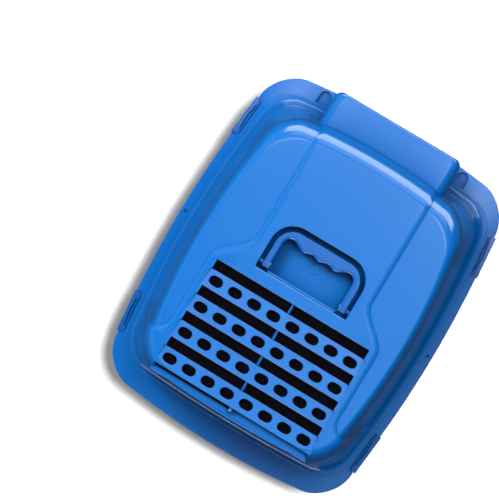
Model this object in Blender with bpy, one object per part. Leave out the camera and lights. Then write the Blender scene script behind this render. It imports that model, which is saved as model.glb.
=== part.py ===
"""Hooded cat litter box: a tray, a hood with a porch and a vent grille, a folding carry handle, four side
clips, two felt filter pads on a rack, and a swinging entrance flap.

Metres, +Z up. The origin is on the floor under the middle of the box, and the entrance faces -Y.
Heights above the hood's flange are given as rises, and FLANGE_TOP is where they start.
"""

import math

import bmesh
import bpy
from mathutils import Matrix, Vector

GAP = 0.0004  # clearance between neighbouring pieces
WALL = 0.0024  # hood moulding
TRAY_WALL = 0.0026
RING = 60  # points on each rounded outline

# Hood flange
FLANGE_HALF_WIDTH = 0.2003
FLANGE_FRONT = 0.2530
FLANGE_REAR = 0.2530
FLANGE_RADIUS = 0.046
FLANGE_BOW = 0.0190
FLANGE_FRONT_BOW = 0.0150
FLANGE_REAR_BOW = 0.0150
FLANGE_TOP = 0.1412
LIP_DROP = 0.0110

# Hood body
BASE_HALF_WIDTH = 0.1862
BASE_FRONT = 0.2235
BASE_REAR = 0.2170
BODY_RADIUS = 0.037
BODY_BOW = 0.0180
BODY_FRONT_BOW = 0.0115
BODY_REAR_BOW = 0.0065
SKIRT_RISE = 0.0200
SKIRT_INSET = 0.0085
WALL_RISE = 0.1950
WALL_SIDE_INSET = 0.0350
WALL_FRONT_INSET = 0.0385
WALL_REAR_INSET = 0.0280
ROOF_RISE = 0.2350
SHOULDER_SIDE = 0.0140
SHOULDER_FRONT = 0.0290
SHOULDER_REAR = 0.0150
SHOULDER_STEPS = 4

# Raised panel on the roof, and the wings beside it
PANEL_STEP = 0.0030
PANEL_HALF_FRONT = 0.0807
PANEL_HALF_REAR = 0.1180
PANEL_CURVE_START = -0.0225
PANEL_CURVE_END = 0.0285
PANEL_CURVE_STEPS = 10
WING_END = 0.1357
WING_END_HALF = 0.0185
WING_END_SAG = 0.0180
WING_END_STEPS = 8
PANEL_TOP = FLANGE_TOP + ROOF_RISE + PANEL_STEP

# Entrance porch
PORCH_HALF_BASE = 0.0985
PORCH_HALF_TOP = 0.0890
PORCH_FRONT_BASE = -0.2475
PORCH_FRONT_TOP = -0.2300
PORCH_RISE = 0.1900
PORCH_RADIUS = 0.0120
PORCH_REAR = -0.1500
DOOR_HALF_WIDTH = 0.0750
DOOR_SILL = 0.0080
DOOR_HEAD = 0.1660
DOOR_RADIUS = 0.0080
DOOR_DEPTH = 0.0250

# Entrance flap, hung in the top of the door opening
FLAP_GAP = 0.0025
FLAP_THICKNESS = 0.0030
FLAP_AXIS_Y = -0.2298
FLAP_AXIS_RISE = 0.1605
FLAP_PIN_RADIUS = 0.0018
LUG_THICKNESS = 0.0040
LUG_HALF = 0.0045

# Half-round pockets in the flange beside the porch, whose tubs locate the hood in notches in the tray's rim
POCKET_X = 0.1090
POCKET_ROUND_Y = -0.2360
POCKET_REAR_Y = -0.2240
POCKET_HALF = 0.0085
POCKET_DEPTH = 0.0050
TUB_WALL = 0.0014

# Small square holes in the flange
EYE_X = 0.1935
EYE_Y = -0.0030
EYE_SIDE = 0.0042

# Carry handle and its recess
RECESS_HALF_WIDTH = 0.0632
RECESS_FRONT = -0.0575
RECESS_REAR = 0.0110
RECESS_DEPTH = 0.0240
RECESS_RADIUS = 0.0290
HANDLE_HALF_WIDTH = 0.0578
HANDLE_FRONT = -0.0508
HANDLE_RADIUS = 0.0235
HANDLE_LEG = 0.0097
HANDLE_THICKNESS = 0.0110
HANDLE_TOP = PANEL_TOP - 0.0010
HANDLE_AXIS_Y = 0.0018
HANDLE_PIN_RADIUS = 0.0028
# Rear edge of the grip from the middle line to a leg: four finger arches in all, the outer ones deeper
GRIP_EDGE = (
    (0.0000, -0.0318),
    (0.0030, -0.0322),
    (0.0065, -0.0341),
    (0.0108, -0.0350),
    (0.0150, -0.0342),
    (0.0185, -0.0325),
    (0.0213, -0.0318),
    (0.0245, -0.0324),
    (0.0290, -0.0352),
    (0.0335, -0.0379),
    (0.0380, -0.0391),
    (0.0425, -0.0385),
    (0.0460, -0.0360),
    (0.0476, -0.0322),
    (0.0481, -0.0270),
)

# Vent grille: slots across, with a row of oblong holes behind each one
GRILLE_HALF_WIDTH = 0.1068
SLOT_FRONTS = (0.0278, 0.0640, 0.1002, 0.1364)
SLOT_LENGTH = 0.0124
BAR_LENGTH = 0.0362 - SLOT_LENGTH
HOLES_PER_ROW = 8
HOLE_PITCH = 0.0269
HOLE_HALF_WIDTH = 0.0088
HOLE_HALF_LENGTH = 0.0060
BAR_DEPTH = 0.0060
BAR_RAMP = 0.0034
GRILLE_REAR = SLOT_FRONTS[-1] + SLOT_LENGTH + BAR_LENGTH
RIB_HALF = 0.0016
CUT_LOW = PANEL_TOP - BAR_DEPTH - 0.004
CUT_HIGH = PANEL_TOP + 0.004

# Filter pads, the ledge that they slide out over, and the rack under them
PAD_THICKNESS = 0.0060
PAD_FRONT = 0.0215
PAD_REARS = {"right": GRILLE_REAR + 0.0036, "left": GRILLE_REAR + 0.0006}
PAD_TOP = PANEL_TOP - BAR_DEPTH - GAP
LEDGE_TOP = PAD_TOP - PAD_THICKNESS - GAP
LEDGE_REAR = 0.1850
RACK_THICKNESS = 0.0030
RACK_BARS = 7
RACK_REAR = GRILLE_REAR - 0.0035
RAIL_THICKNESS = 0.0034
PAD_SIDE_GAP = 0.0012
BLOCK_FRONT = SLOT_FRONTS[0] - 0.0060

# Tray
TRAY_RIM_TOP = FLANGE_TOP - WALL - GAP
TRAY_RIM_THICKNESS = 0.0026
TRAY_TAPER = 0.0240
TRAY_FOOT_RADIUS = 0.0140
UPSTAND_RISE = 0.0070
UPSTAND_INSET = 0.0085

# Side clips
CLIP_LENGTH = 0.0600
CLIP_THICKNESS = 0.0022
CLIP_WIDTH = 0.0061
CLIP_DROP = 0.0250
CLIP_PIN_RADIUS = 0.0012
CLIP_AXIS_INSET = 0.0078
CLIP_FRONT_Y = -0.1590
CLIP_REAR_Y = 0.1560
NOTCH_LENGTH = CLIP_LENGTH + 0.0020
NOTCH_DEPTH = 0.0098
EAR_LENGTH = 0.0040
EAR_DROP = 0.0026
CLIP_PROUD = 0.0008
CLIP_TOE = 0.0013

BLUE = (0.012, 0.135, 0.620, 1.0)
DARK_BLUE = (0.010, 0.100, 0.480, 1.0)
FELT_BLACK = (0.010, 0.011, 0.018, 1.0)
SMOKE = (0.055, 0.070, 0.095, 1.0)


def clear_scene():
    for item in list(bpy.data.objects):
        bpy.data.objects.remove(item)


def plastic(name, colour, roughness):
    material = bpy.data.materials.new(name)
    material.use_nodes = True
    shader = material.node_tree.nodes["Principled BSDF"]
    shader.inputs["Base Color"].default_value = colour
    shader.inputs["Roughness"].default_value = roughness
    shader.inputs["Metallic"].default_value = 0.0
    return material


def add_object(name, bm, material=None):
    """The bmesh as an object, its faces turned outward."""
    bmesh.ops.recalc_face_normals(bm, faces=bm.faces)
    mesh = bpy.data.meshes.new(name)
    bm.to_mesh(mesh)
    bm.free()
    item = bpy.data.objects.new(name, mesh)
    bpy.context.collection.objects.link(item)
    if material:
        mesh.materials.append(material)
        mesh.shade_smooth()
        mesh.set_sharp_from_angle(angle=math.radians(30))
    return item


def add_cutter(name, bm):
    item = add_object(name, bm)
    item.hide_render = True
    item.display_type = "WIRE"
    return item


def combine(item, other, operation):
    boolean = item.modifiers.new(other.name, "BOOLEAN")
    boolean.operation = operation
    boolean.object = other


def bowed_ring(half_width, front, rear, radius, bows, z, count=RING):
    """A rounded rectangle whose sides and ends bulge outward, as points at height z.

    The bows are those of the sides, the front and the rear.
    """
    quarter = count // 4
    corner_steps = quarter // 2
    side_steps = (quarter - corner_steps + 1) // 2
    end_steps = quarter - corner_steps - side_steps
    points = []
    for turn, (sx, sy) in enumerate(((1, -1), (1, 1), (-1, 1), (-1, -1))):
        length = front if sy < 0 else rear
        end_bow = bows[1] if sy < 0 else bows[2]
        side = [(half_width, (length - radius) * (i + 0.5) / side_steps) for i in range(side_steps)]
        angles = [math.pi / 2 * (i + 0.5) / corner_steps for i in range(corner_steps)]
        inner = half_width - radius
        straight = length - radius
        corner = [(inner + radius * math.cos(a), straight + radius * math.sin(a)) for a in angles]
        step = inner / end_steps
        end = [(step * (end_steps - i - 0.5), length) for i in range(end_steps)]
        run = side + corner + end
        if turn % 2 == 0:
            run.reverse()
        for x, y in run:
            bowed_x = x * (1 - bows[0] / half_width * (y / length) ** 2)
            bowed_y = y * (1 - end_bow / length * (x / half_width) ** 2)
            points.append(Vector((sx * bowed_x, sy * bowed_y, z)))
    return points


def loft(rings):
    """A closed solid through the rings, with flat caps on the first and the last."""
    bm = bmesh.new()
    loops = [[bm.verts.new(point) for point in ring] for ring in rings]
    for below, above in zip(loops, loops[1:]):
        for i in range(len(below)):
            j = (i + 1) % len(below)
            bm.faces.new((below[i], below[j], above[j], above[i]))
    bm.faces.new(loops[0])
    bm.faces.new(loops[-1])
    return bm


def prism(outline, z_low, z_high):
    """An outline in plan, extruded between two heights."""
    return loft([[Vector((x, y, z_low)) for x, y in outline], [Vector((x, y, z_high)) for x, y in outline]])


def box(bm, x0, x1, y0, y1, z0, z1):
    centre = Vector(((x0 + x1) / 2, (y0 + y1) / 2, (z0 + z1) / 2))
    size = Matrix.Diagonal((x1 - x0, y1 - y0, z1 - z0, 1))
    bmesh.ops.create_cube(bm, size=1, matrix=Matrix.Translation(centre) @ size)


def boxes(spans):
    bm = bmesh.new()
    for span in spans:
        box(bm, *span)
    return bm


def rod(bm, radius, start, end, segments=16):
    """A cylinder between two points."""
    along = Vector(end) - Vector(start)
    middle = (Vector(start) + Vector(end)) / 2
    turn = along.to_track_quat("Z", "Y").to_matrix().to_4x4()
    matrix = Matrix.Translation(middle) @ turn
    bmesh.ops.create_cone(
        bm,
        cap_ends=True,
        segments=segments,
        radius1=radius,
        radius2=radius,
        depth=along.length,
        matrix=matrix,
    )


def arc(centre, radius, start, end, steps):
    turns = [math.radians(start + (end - start) * i / steps) for i in range(steps + 1)]
    return [(centre[0] + radius * math.cos(t), centre[1] + radius * math.sin(t)) for t in turns]


def body_ring(rise, side_inset, front_inset, rear_inset, off):
    """One outline of the hood's body. A positive off moves it inward, and a negative one outward."""
    return bowed_ring(
        BASE_HALF_WIDTH - side_inset - off,
        BASE_FRONT - front_inset - off,
        BASE_REAR - rear_inset - off,
        BODY_RADIUS,
        (BODY_BOW, BODY_FRONT_BOW, BODY_REAR_BOW),
        FLANGE_TOP + rise,
    )


def body_rings(off, foot_rise):
    """The body's outlines from the foot up the drafted wall and over the shoulder to the roof."""
    foot = SKIRT_INSET * foot_rise / SKIRT_RISE
    rings = [
        body_ring(foot_rise, foot, foot, foot, off),
        body_ring(SKIRT_RISE, SKIRT_INSET, SKIRT_INSET, SKIRT_INSET, off),
    ]
    for i in range(SHOULDER_STEPS + 1):
        turn = math.pi / 2 * i / SHOULDER_STEPS
        outward = 1 - math.cos(turn)
        rings.append(
            body_ring(
                WALL_RISE + (ROOF_RISE - off - WALL_RISE) * math.sin(turn),
                WALL_SIDE_INSET + SHOULDER_SIDE * outward,
                WALL_FRONT_INSET + SHOULDER_FRONT * outward,
                WALL_REAR_INSET + SHOULDER_REAR * outward,
                off,
            )
        )
    return rings


def flange_ring(off, z):
    bows = (FLANGE_BOW, FLANGE_FRONT_BOW, FLANGE_REAR_BOW)
    half_width = FLANGE_HALF_WIDTH - off
    return bowed_ring(half_width, FLANGE_FRONT - off, FLANGE_REAR - off, FLANGE_RADIUS, bows, z)


def panel_outline(off):
    """Plan of the raised panel and the rear of the hood. Off moves its edge inward."""
    right = [(PANEL_HALF_FRONT - off, -0.30), (PANEL_HALF_FRONT - off, PANEL_CURVE_START)]
    for i in range(1, PANEL_CURVE_STEPS + 1):
        part = i / PANEL_CURVE_STEPS
        sweep = (1 - math.cos(math.pi * part)) / 2
        right.append(
            (
                PANEL_HALF_FRONT + (PANEL_HALF_REAR - PANEL_HALF_FRONT) * sweep - off,
                PANEL_CURVE_START + (PANEL_CURVE_END - PANEL_CURVE_START) * part,
            )
        )
    for i in range(WING_END_STEPS + 1):
        turn = math.pi * (1 - i / WING_END_STEPS)
        right.append(
            (
                PANEL_HALF_REAR - off + WING_END_HALF * (1 + math.cos(turn)),
                WING_END + off - WING_END_SAG * (1 - math.sin(turn)),
            )
        )
    right += [(0.25, WING_END + off - WING_END_SAG), (0.25, 0.30)]
    return right + [(-x, y) for x, y in reversed(right)]


def porch_solid(off, rear):
    """The porch as a drafted box with rounded upper corners. Off moves its faces inward."""
    bm = bmesh.new()
    loops = []
    for place in ("front", "rear"):
        loop = []
        low = FLANGE_TOP - WALL if off == 0 else FLANGE_TOP - 2 * WALL
        top = FLANGE_TOP + PORCH_RISE - off
        radius = PORCH_RADIUS - off
        half_top = PORCH_HALF_TOP - off
        right = [(PORCH_HALF_BASE - off, low)]
        right += arc((half_top - radius, top - radius), radius, 5, 90, 5)
        for x, z in right + [(-x, z) for x, z in reversed(right)]:
            slope = (z - FLANGE_TOP) / PORCH_RISE
            face = PORCH_FRONT_BASE + (PORCH_FRONT_TOP - PORCH_FRONT_BASE) * slope + off
            loop.append(bm.verts.new((x, face if place == "front" else rear, z)))
        loops.append(loop)
    front, back = loops
    for i in range(len(front)):
        j = (i + 1) % len(front)
        bm.faces.new((front[i], front[j], back[j], back[i]))
    bm.faces.new(front)
    bm.faces.new(back)
    return bm


def door_outline(grow):
    """The door opening's outline as (x, rise) points, made larger by grow."""
    half = DOOR_HALF_WIDTH + grow
    radius = DOOR_RADIUS + grow
    top = DOOR_HEAD + grow
    right = [(half, DOOR_SILL - grow)] + arc((half - radius, top - radius), radius, 0, 90, 5)
    return right + [(-x, z) for x, z in reversed(right)]


def upright_prism(outline, y_low, y_high):
    """An (x, z) outline, extruded along Y."""
    return loft([[Vector((x, y_low, z)) for x, z in outline], [Vector((x, y_high, z)) for x, z in outline]])


def recess_outline(off):
    """Plan of the handle's recess, made larger by off: rounded front corners and a straight rear."""
    half = RECESS_HALF_WIDTH + off
    front = RECESS_FRONT - off
    radius = RECESS_RADIUS + off
    right = [(half, RECESS_REAR + off)] + arc((half - radius, front + radius), radius, 0, -90, 5)
    return right + [(-x, y) for x, y in reversed(right)]


def clip_sites():
    """Each clip's name, its place on the flange's edge and the edge's turn there."""
    sites = []
    for end, y in (("front", CLIP_FRONT_Y), ("rear", CLIP_REAR_Y)):
        length = FLANGE_FRONT if y < 0 else FLANGE_REAR
        edge = FLANGE_HALF_WIDTH - FLANGE_BOW * (y / length) ** 2
        lean = math.atan(2 * FLANGE_BOW * y / length**2)
        sites.append((f"clip_{end}_right", edge, y, lean))
        sites.append((f"clip_{end}_left", -edge, y, math.pi - lean))
    return sites


def clip_frame(x, y, turn):
    """Local axes at a clip: +X points straight out of the flange, and the origin is on the hinge axis."""
    outward = Matrix.Translation((x, y, FLANGE_TOP - CLIP_PIN_RADIUS)) @ Matrix.Rotation(turn, 4, "Z")
    return outward @ Matrix.Translation((-CLIP_AXIS_INSET, 0, 0))


def ramp_cuts():
    """The space above each bar, whose top slopes down to its front edge."""
    high = PANEL_TOP + 0.004
    parts = []
    for front in SLOT_FRONTS:
        start = front + SLOT_LENGTH - 0.0002
        end = front + SLOT_LENGTH + BAR_LENGTH
        low = PANEL_TOP - BAR_RAMP
        profile = [(start, low), (end, PANEL_TOP + 0.00005), (end, high), (start, high)]
        ends = (-GRILLE_HALF_WIDTH, GRILLE_HALF_WIDTH)
        parts.append(loft([[Vector((x, y, z)) for y, z in profile] for x in ends]))
    return joined(parts)


def slot_cuts():
    spans = []
    for front in SLOT_FRONTS:
        for sx in (-1, 1):
            edges = sorted((sx * RIB_HALF, sx * GRILLE_HALF_WIDTH))
            spans.append((*edges, front, front + SLOT_LENGTH, CUT_LOW, CUT_HIGH))
    return boxes(spans)


def hole_cuts():
    """A row of oblong holes in each bar."""
    parts = []
    straight = HOLE_HALF_WIDTH - HOLE_HALF_LENGTH
    for front in SLOT_FRONTS:
        y = front + SLOT_LENGTH + BAR_LENGTH / 2
        for i in range(HOLES_PER_ROW):
            x = (i - (HOLES_PER_ROW - 1) / 2) * HOLE_PITCH
            outline = arc((x + straight, y), HOLE_HALF_LENGTH, -90, 90, 5)
            outline += arc((x - straight, y), HOLE_HALF_LENGTH, 90, 270, 5)
            parts.append(prism(outline, CUT_LOW, CUT_HIGH))
    return joined(parts)


def make_hood(blue):
    lip = FLANGE_TOP - LIP_DROP
    skin = [flange_ring(0.0004, lip), flange_ring(0, FLANGE_TOP - 0.0010), flange_ring(0.0010, FLANGE_TOP)]
    hood = add_object("hood", loft(skin + body_rings(0, 0)), blue)

    raised = add_cutter("raised_panel", loft(body_rings(-PANEL_STEP, SKIRT_RISE / 2)))
    plan = prism(panel_outline(0), FLANGE_TOP, PANEL_TOP + 0.02)
    combine(raised, add_cutter("panel_plan", plan), "INTERSECT")
    combine(hood, raised, "UNION")
    combine(hood, add_cutter("porch", porch_solid(0, PORCH_REAR)), "UNION")

    under = FLANGE_TOP - WALL
    hollow = [flange_ring(WALL, lip - 0.004), flange_ring(WALL, under)]
    void = add_cutter("void", loft(hollow + body_rings(WALL, -WALL)))
    void_raised = add_cutter("void_raised", loft(body_rings(WALL - PANEL_STEP, SKIRT_RISE / 2)))
    plan = prism(panel_outline(WALL), FLANGE_TOP, PANEL_TOP + 0.02)
    combine(void_raised, add_cutter("void_plan", plan), "INTERSECT")
    combine(void, void_raised, "UNION")
    combine(void, add_cutter("void_porch", porch_solid(WALL, PORCH_REAR)), "UNION")
    combine(hood, void, "DIFFERENCE")

    for name, shape in (("grille_block", grille_block()), ("rack_rails", rack_rails())):
        combine(hood, add_cutter(name, shape), "UNION")
    pocket = recess_outline(WALL)
    floor = PANEL_TOP - RECESS_DEPTH
    combine(hood, add_cutter("recess_tub", prism(pocket, floor - WALL, PANEL_TOP - WALL / 2)), "UNION")
    combine(hood, add_cutter("recess", prism(recess_outline(0), floor, PANEL_TOP + 0.01)), "DIFFERENCE")
    combine(hood, add_cutter("ledge_cut", boxes([ledge_span()])), "DIFFERENCE")
    combine(hood, add_cutter("pad_chamber", boxes([chamber_span()])), "DIFFERENCE")
    for name, shape in (("ledge", ledge()), ("middle_rib", middle_rib()), ("flap_lugs", flap_lugs())):
        combine(hood, add_cutter(name, shape), "UNION")
    for name, shape in (("ramps", ramp_cuts()), ("slots", slot_cuts()), ("holes", hole_cuts())):
        combine(hood, add_cutter(name, shape), "DIFFERENCE")
    door = [(x, FLANGE_TOP + rise) for x, rise in door_outline(0)]
    door_solid = upright_prism(door, PORCH_FRONT_BASE - 0.01, PORCH_FRONT_BASE + DOOR_DEPTH)
    combine(hood, add_cutter("door_cut", door_solid), "DIFFERENCE")
    combine(hood, add_cutter("pocket_tubs", pocket_tubs()), "UNION")
    combine(hood, add_cutter("small_cuts", small_cuts()), "DIFFERENCE")
    combine(hood, add_cutter("notches", notch_cuts()), "DIFFERENCE")
    combine(hood, add_cutter("clip_ears", clip_ears()), "UNION")
    combine(hood, add_cutter("pin_bores", pin_bores()), "DIFFERENCE")
    return hood


def ledge_span():
    half = GRILLE_HALF_WIDTH + PAD_SIDE_GAP
    return (-half, half, GRILLE_REAR, 0.23, LEDGE_TOP, PANEL_TOP + 0.01)


def chamber_span():
    """The space that both pads lie in."""
    half = GRILLE_HALF_WIDTH + PAD_SIDE_GAP
    return (-half, half, BLOCK_FRONT + 0.0010, GRILLE_REAR + 0.001, LEDGE_TOP, PAD_TOP + GAP - 0.0001)


def grille_block():
    """The thick part of the roof that the grille is cut from."""
    half = GRILLE_HALF_WIDTH + RAIL_THICKNESS
    return boxes([(-half, half, BLOCK_FRONT, GRILLE_REAR, PANEL_TOP - BAR_DEPTH, PANEL_TOP - WALL / 2)])


def rack_rails():
    """The two rails under the roof that the filter rack snaps between."""
    inner = GRILLE_HALF_WIDTH + PAD_SIDE_GAP
    outer = GRILLE_HALF_WIDTH + RAIL_THICKNESS - 0.0002
    low = LEDGE_TOP - RACK_THICKNESS - 0.0030
    front = BLOCK_FRONT + 0.0002
    rear = GRILLE_REAR - 0.0002
    spans = [(*sorted((sx * inner, sx * outer)), front, rear, low, PANEL_TOP - WALL) for sx in (-1, 1)]
    return boxes(spans)


def ledge():
    """The ledge behind the grille, which the pads slide out over."""
    half = GRILLE_HALF_WIDTH + RAIL_THICKNESS
    return boxes([(-half, half, GRILLE_REAR - 0.0030, LEDGE_REAR - 0.0006, LEDGE_TOP - WALL, LEDGE_TOP)])


def middle_rib():
    """The quarter-round rib from the last bar down to the ledge."""
    profile = [(GRILLE_REAR - 0.0020, LEDGE_TOP - 0.0010), (GRILLE_REAR - 0.0020, PANEL_TOP - 0.0008)]
    reach = LEDGE_REAR - 0.0030 - GRILLE_REAR
    drop = PANEL_TOP - 0.0008 - LEDGE_TOP
    for i in range(5):
        turn = math.pi / 2 * i / 4
        profile.append((GRILLE_REAR + reach * math.sin(turn), LEDGE_TOP + drop * math.cos(turn) - 0.0004))
    profile.append((GRILLE_REAR + reach, LEDGE_TOP - 0.0010))
    return loft([[Vector((x, y, z)) for y, z in profile] for x in (-RIB_HALF, RIB_HALF)])


def flap_axis_z():
    return FLANGE_TOP + FLAP_AXIS_RISE


def flap_lugs():
    """Two ears behind the porch's front wall, one beyond each end of the flap's pins."""
    inner = DOOR_HALF_WIDTH + 0.0002
    z = flap_axis_z()
    spans = []
    for sx in (-1, 1):
        edges = sorted((sx * inner, sx * (inner + LUG_THICKNESS)))
        spans.append((*edges, FLAP_AXIS_Y - 0.0015, FLAP_AXIS_Y + LUG_HALF, z - LUG_HALF, z + LUG_HALF))
    return boxes(spans)


def small_cuts():
    """The half-round pockets and the square eyes in the flange."""
    bm = bmesh.new()
    for sx in (-1, 1):
        edges = sorted((sx * (EYE_X - EYE_SIDE / 2), sx * (EYE_X + EYE_SIDE / 2)))
        box(bm, *edges, EYE_Y - EYE_SIDE / 2, EYE_Y + EYE_SIDE / 2, FLANGE_TOP - 0.01, FLANGE_TOP + 0.01)
    low = FLANGE_TOP - POCKET_DEPTH
    pockets = [prism(pocket_outline(sx, 0), low, FLANGE_TOP + 0.003) for sx in (-1, 1)]
    return joined([bm] + pockets)


def pocket_outline(sx, grow):
    """Plan of a locating pocket: a round front end and a straight rear one."""
    x = sx * POCKET_X
    half = POCKET_HALF + grow
    outline = arc((x, POCKET_ROUND_Y), half, 180, 360, 6)
    return outline + [(x + half, POCKET_REAR_Y + grow), (x - half, POCKET_REAR_Y + grow)]


def pocket_tubs():
    """The undersides of the locating pockets."""
    low = FLANGE_TOP - POCKET_DEPTH - TUB_WALL
    return joined([prism(pocket_outline(sx, TUB_WALL), low, FLANGE_TOP - 0.0008) for sx in (-1, 1)])


def rim_notches():
    """The notches in the tray's rim that the pockets drop into."""
    grow = TUB_WALL + GAP
    return joined([prism(pocket_outline(sx, grow), FLANGE_TOP - 0.02, FLANGE_TOP) for sx in (-1, 1)])


def placed(bm, matrix):
    bmesh.ops.transform(bm, matrix=matrix, verts=bm.verts)
    return bm


def joined(parts):
    """Several bmeshes as one."""
    whole = bmesh.new()
    for part in parts:
        mesh = bpy.data.meshes.new("part")
        part.to_mesh(mesh)
        part.free()
        whole.from_mesh(mesh)
        bpy.data.meshes.remove(mesh)
    return whole


def notch_cuts():
    """The notches in the flange's edge, one for each clip."""
    half = NOTCH_LENGTH / 2
    inner = CLIP_AXIS_INSET - NOTCH_DEPTH
    parts = []
    for _, x, y, turn in clip_sites():
        parts.append(placed(boxes([(inner, 0.02, -half, half, -0.03, 0.01)]), clip_frame(x, y, turn)))
    return joined(parts)


def clip_ears():
    """A pair of ears at the ends of each notch, which the clip's pin runs in."""
    half = NOTCH_LENGTH / 2
    parts = []
    for _, x, y, turn in clip_sites():
        spans = []
        for end in (-1, 1):
            near, far = sorted((end * (half - EAR_LENGTH), end * (half + 0.0004)))
            spans.append((-0.0024, 0.0021, near, far, -EAR_DROP, CLIP_PIN_RADIUS - 0.0001))
        parts.append(placed(boxes(spans), clip_frame(x, y, turn)))
    return joined(parts)


def pin_bores():
    """Bores for the clip pins, the handle's pins and the flap's pins."""
    parts = []
    for _, x, y, turn in clip_sites():
        bm = bmesh.new()
        half = NOTCH_LENGTH / 2 - 0.0004
        rod(bm, CLIP_PIN_RADIUS + 0.0003, (0, -half, 0), (0, half, 0), 12)
        parts.append(placed(bm, clip_frame(x, y, turn)))
    bm = bmesh.new()
    axis_z = handle_axis_z()
    reach = RECESS_HALF_WIDTH + WALL + 0.001
    for sx in (-1, 1):
        start = (sx * (RECESS_HALF_WIDTH - 0.002), HANDLE_AXIS_Y, axis_z)
        rod(bm, HANDLE_PIN_RADIUS + 0.0003, start, (sx * reach, HANDLE_AXIS_Y, axis_z))
        start = (sx * (DOOR_HALF_WIDTH - 0.002), FLAP_AXIS_Y, flap_axis_z())
        end = (sx * (DOOR_HALF_WIDTH + LUG_THICKNESS + 0.001), FLAP_AXIS_Y, flap_axis_z())
        rod(bm, FLAP_PIN_RADIUS + 0.0003, start, end)
    parts.append(bm)
    return joined(parts)


def handle_axis_z():
    return HANDLE_TOP - HANDLE_THICKNESS / 2


def handle_outline():
    """Plan of the U-shaped handle, with finger arches on the grip's rear edge."""
    half = HANDLE_HALF_WIDTH
    radius = HANDLE_RADIUS
    right = [(half - HANDLE_LEG, HANDLE_AXIS_Y), (half, HANDLE_AXIS_Y)]
    right += arc((half - radius, HANDLE_FRONT + radius), radius, 0, -90, 6)
    left = [(-x, y) for x, y in reversed(right)]
    edge = [(-x, y) for x, y in reversed(GRIP_EDGE)] + list(GRIP_EDGE[1:])
    return right + left + edge


def make_handle(blue):
    """The carry handle: the U, two round bosses at its feet, and a pivot pin in each."""
    low = HANDLE_TOP - HANDLE_THICKNESS
    axis_z = handle_axis_z()
    handle = add_object("carry_handle", prism(handle_outline(), low, HANDLE_TOP), blue)
    boss = HANDLE_THICKNESS / 2 - 0.0001
    rods = bmesh.new()
    for sx in (-1, 1):
        inner = (sx * (HANDLE_HALF_WIDTH - HANDLE_LEG), HANDLE_AXIS_Y, axis_z)
        outer = (sx * (HANDLE_HALF_WIDTH + 0.0001), HANDLE_AXIS_Y, axis_z)
        rod(rods, boss, inner, outer, 20)
    combine(handle, add_cutter("handle_bosses", rods), "UNION")
    pins = bmesh.new()
    for sx in (-1, 1):
        start = (sx * (HANDLE_HALF_WIDTH - 0.004), HANDLE_AXIS_Y, axis_z)
        end = (sx * (RECESS_HALF_WIDTH + WALL - 0.0002), HANDLE_AXIS_Y, axis_z)
        rod(pins, HANDLE_PIN_RADIUS, start, end)
    combine(handle, add_cutter("handle_pins", pins), "UNION")
    return set_origin(handle, Vector((0, HANDLE_AXIS_Y, axis_z)))


def set_origin(item, place):
    """Moves the object's origin onto its joint axis, and leaves its shape where it is."""
    item.data.transform(Matrix.Translation(-place))
    item.location = place
    return item


def make_clips(blue):
    """Each clip: a hinge pin on two knuckles, a top strip, a plate over the flange's edge and a toe."""
    outer = CLIP_AXIS_INSET + CLIP_PROUD
    top = CLIP_PIN_RADIUS
    half = CLIP_LENGTH / 2
    arm = NOTCH_LENGTH / 2 - EAR_LENGTH - 0.0036
    for name, x, y, turn in clip_sites():
        pivot = bpy.data.objects.new(f"{name}_pivot", None)
        pivot.matrix_world = clip_frame(x, y, turn)
        bpy.context.collection.objects.link(pivot)
        plate = boxes([(outer - CLIP_THICKNESS, outer, -half, half, top - CLIP_DROP, top)])
        clip = add_object(name, plate, blue)
        clip.parent = pivot
        under = top - CLIP_THICKNESS + 0.0001
        strip = boxes([(outer - CLIP_WIDTH, outer - 0.0005, -half, half, under, top - 0.0001)])
        clip_part(clip, "strip", strip, pivot)
        toe_low = top - CLIP_DROP + 0.0001
        toe_inner = outer - CLIP_THICKNESS - CLIP_TOE
        toe_end = half - 0.004
        toe = boxes([(toe_inner, outer - 0.0006, -toe_end, toe_end, toe_low, toe_low + 0.0026)])
        clip_part(clip, "toe", toe, pivot)
        reach = outer - CLIP_WIDTH + 0.0008
        spans = [(-0.0009, reach, m - 0.0030, m + 0.0030, -0.0009, 0.0009) for m in (-arm, arm)]
        clip_part(clip, "knuckles", boxes(spans), pivot)
        pin = bmesh.new()
        rod(pin, CLIP_PIN_RADIUS, (0, -half + 0.0003, 0), (0, half - 0.0003, 0), 12)
        clip_part(clip, "pin", pin, pivot)


def clip_part(clip, label, bm, pivot):
    part = add_cutter(f"{clip.name}_{label}", bm)
    part.parent = pivot
    combine(clip, part, "UNION")


def make_pads(felt):
    for side, sx in (("right", 1), ("left", -1)):
        near = RIB_HALF + 0.0010
        far = GRILLE_HALF_WIDTH - 0.0004
        edges = sorted((sx * near, sx * far))
        rear = PAD_REARS[side]
        span = (*edges, PAD_FRONT, rear, PAD_TOP - PAD_THICKNESS, PAD_TOP)
        pad = add_object(f"filter_pad_{side}", boxes([span]), felt)
        centre = Vector((sum(edges) / 2, (PAD_FRONT + rear) / 2, PAD_TOP - PAD_THICKNESS / 2))
        set_origin(pad, centre)


def make_rack(blue):
    """An open rack of bars under the pads, with an edge that hooks over the hood's side rails."""
    half = GRILLE_HALF_WIDTH + 0.0008
    front = PAD_FRONT - 0.0030
    top = LEDGE_TOP
    low = top - RACK_THICKNESS
    plate = boxes([(-half, half, front, RACK_REAR, low, top)])
    rack = add_object("filter_rack", plate, blue)
    windows = []
    pitch = (RACK_REAR - front - 0.004) / RACK_BARS
    for i in range(RACK_BARS):
        start = front + 0.004 + i * pitch
        for sx in (-1, 1):
            edges = sorted((sx * 0.003, sx * (half - 0.004)))
            windows.append((*edges, start, start + pitch - 0.004, low - 0.001, top + 0.001))
    combine(rack, add_cutter("rack_windows", boxes(windows)), "DIFFERENCE")
    return rack


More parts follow.
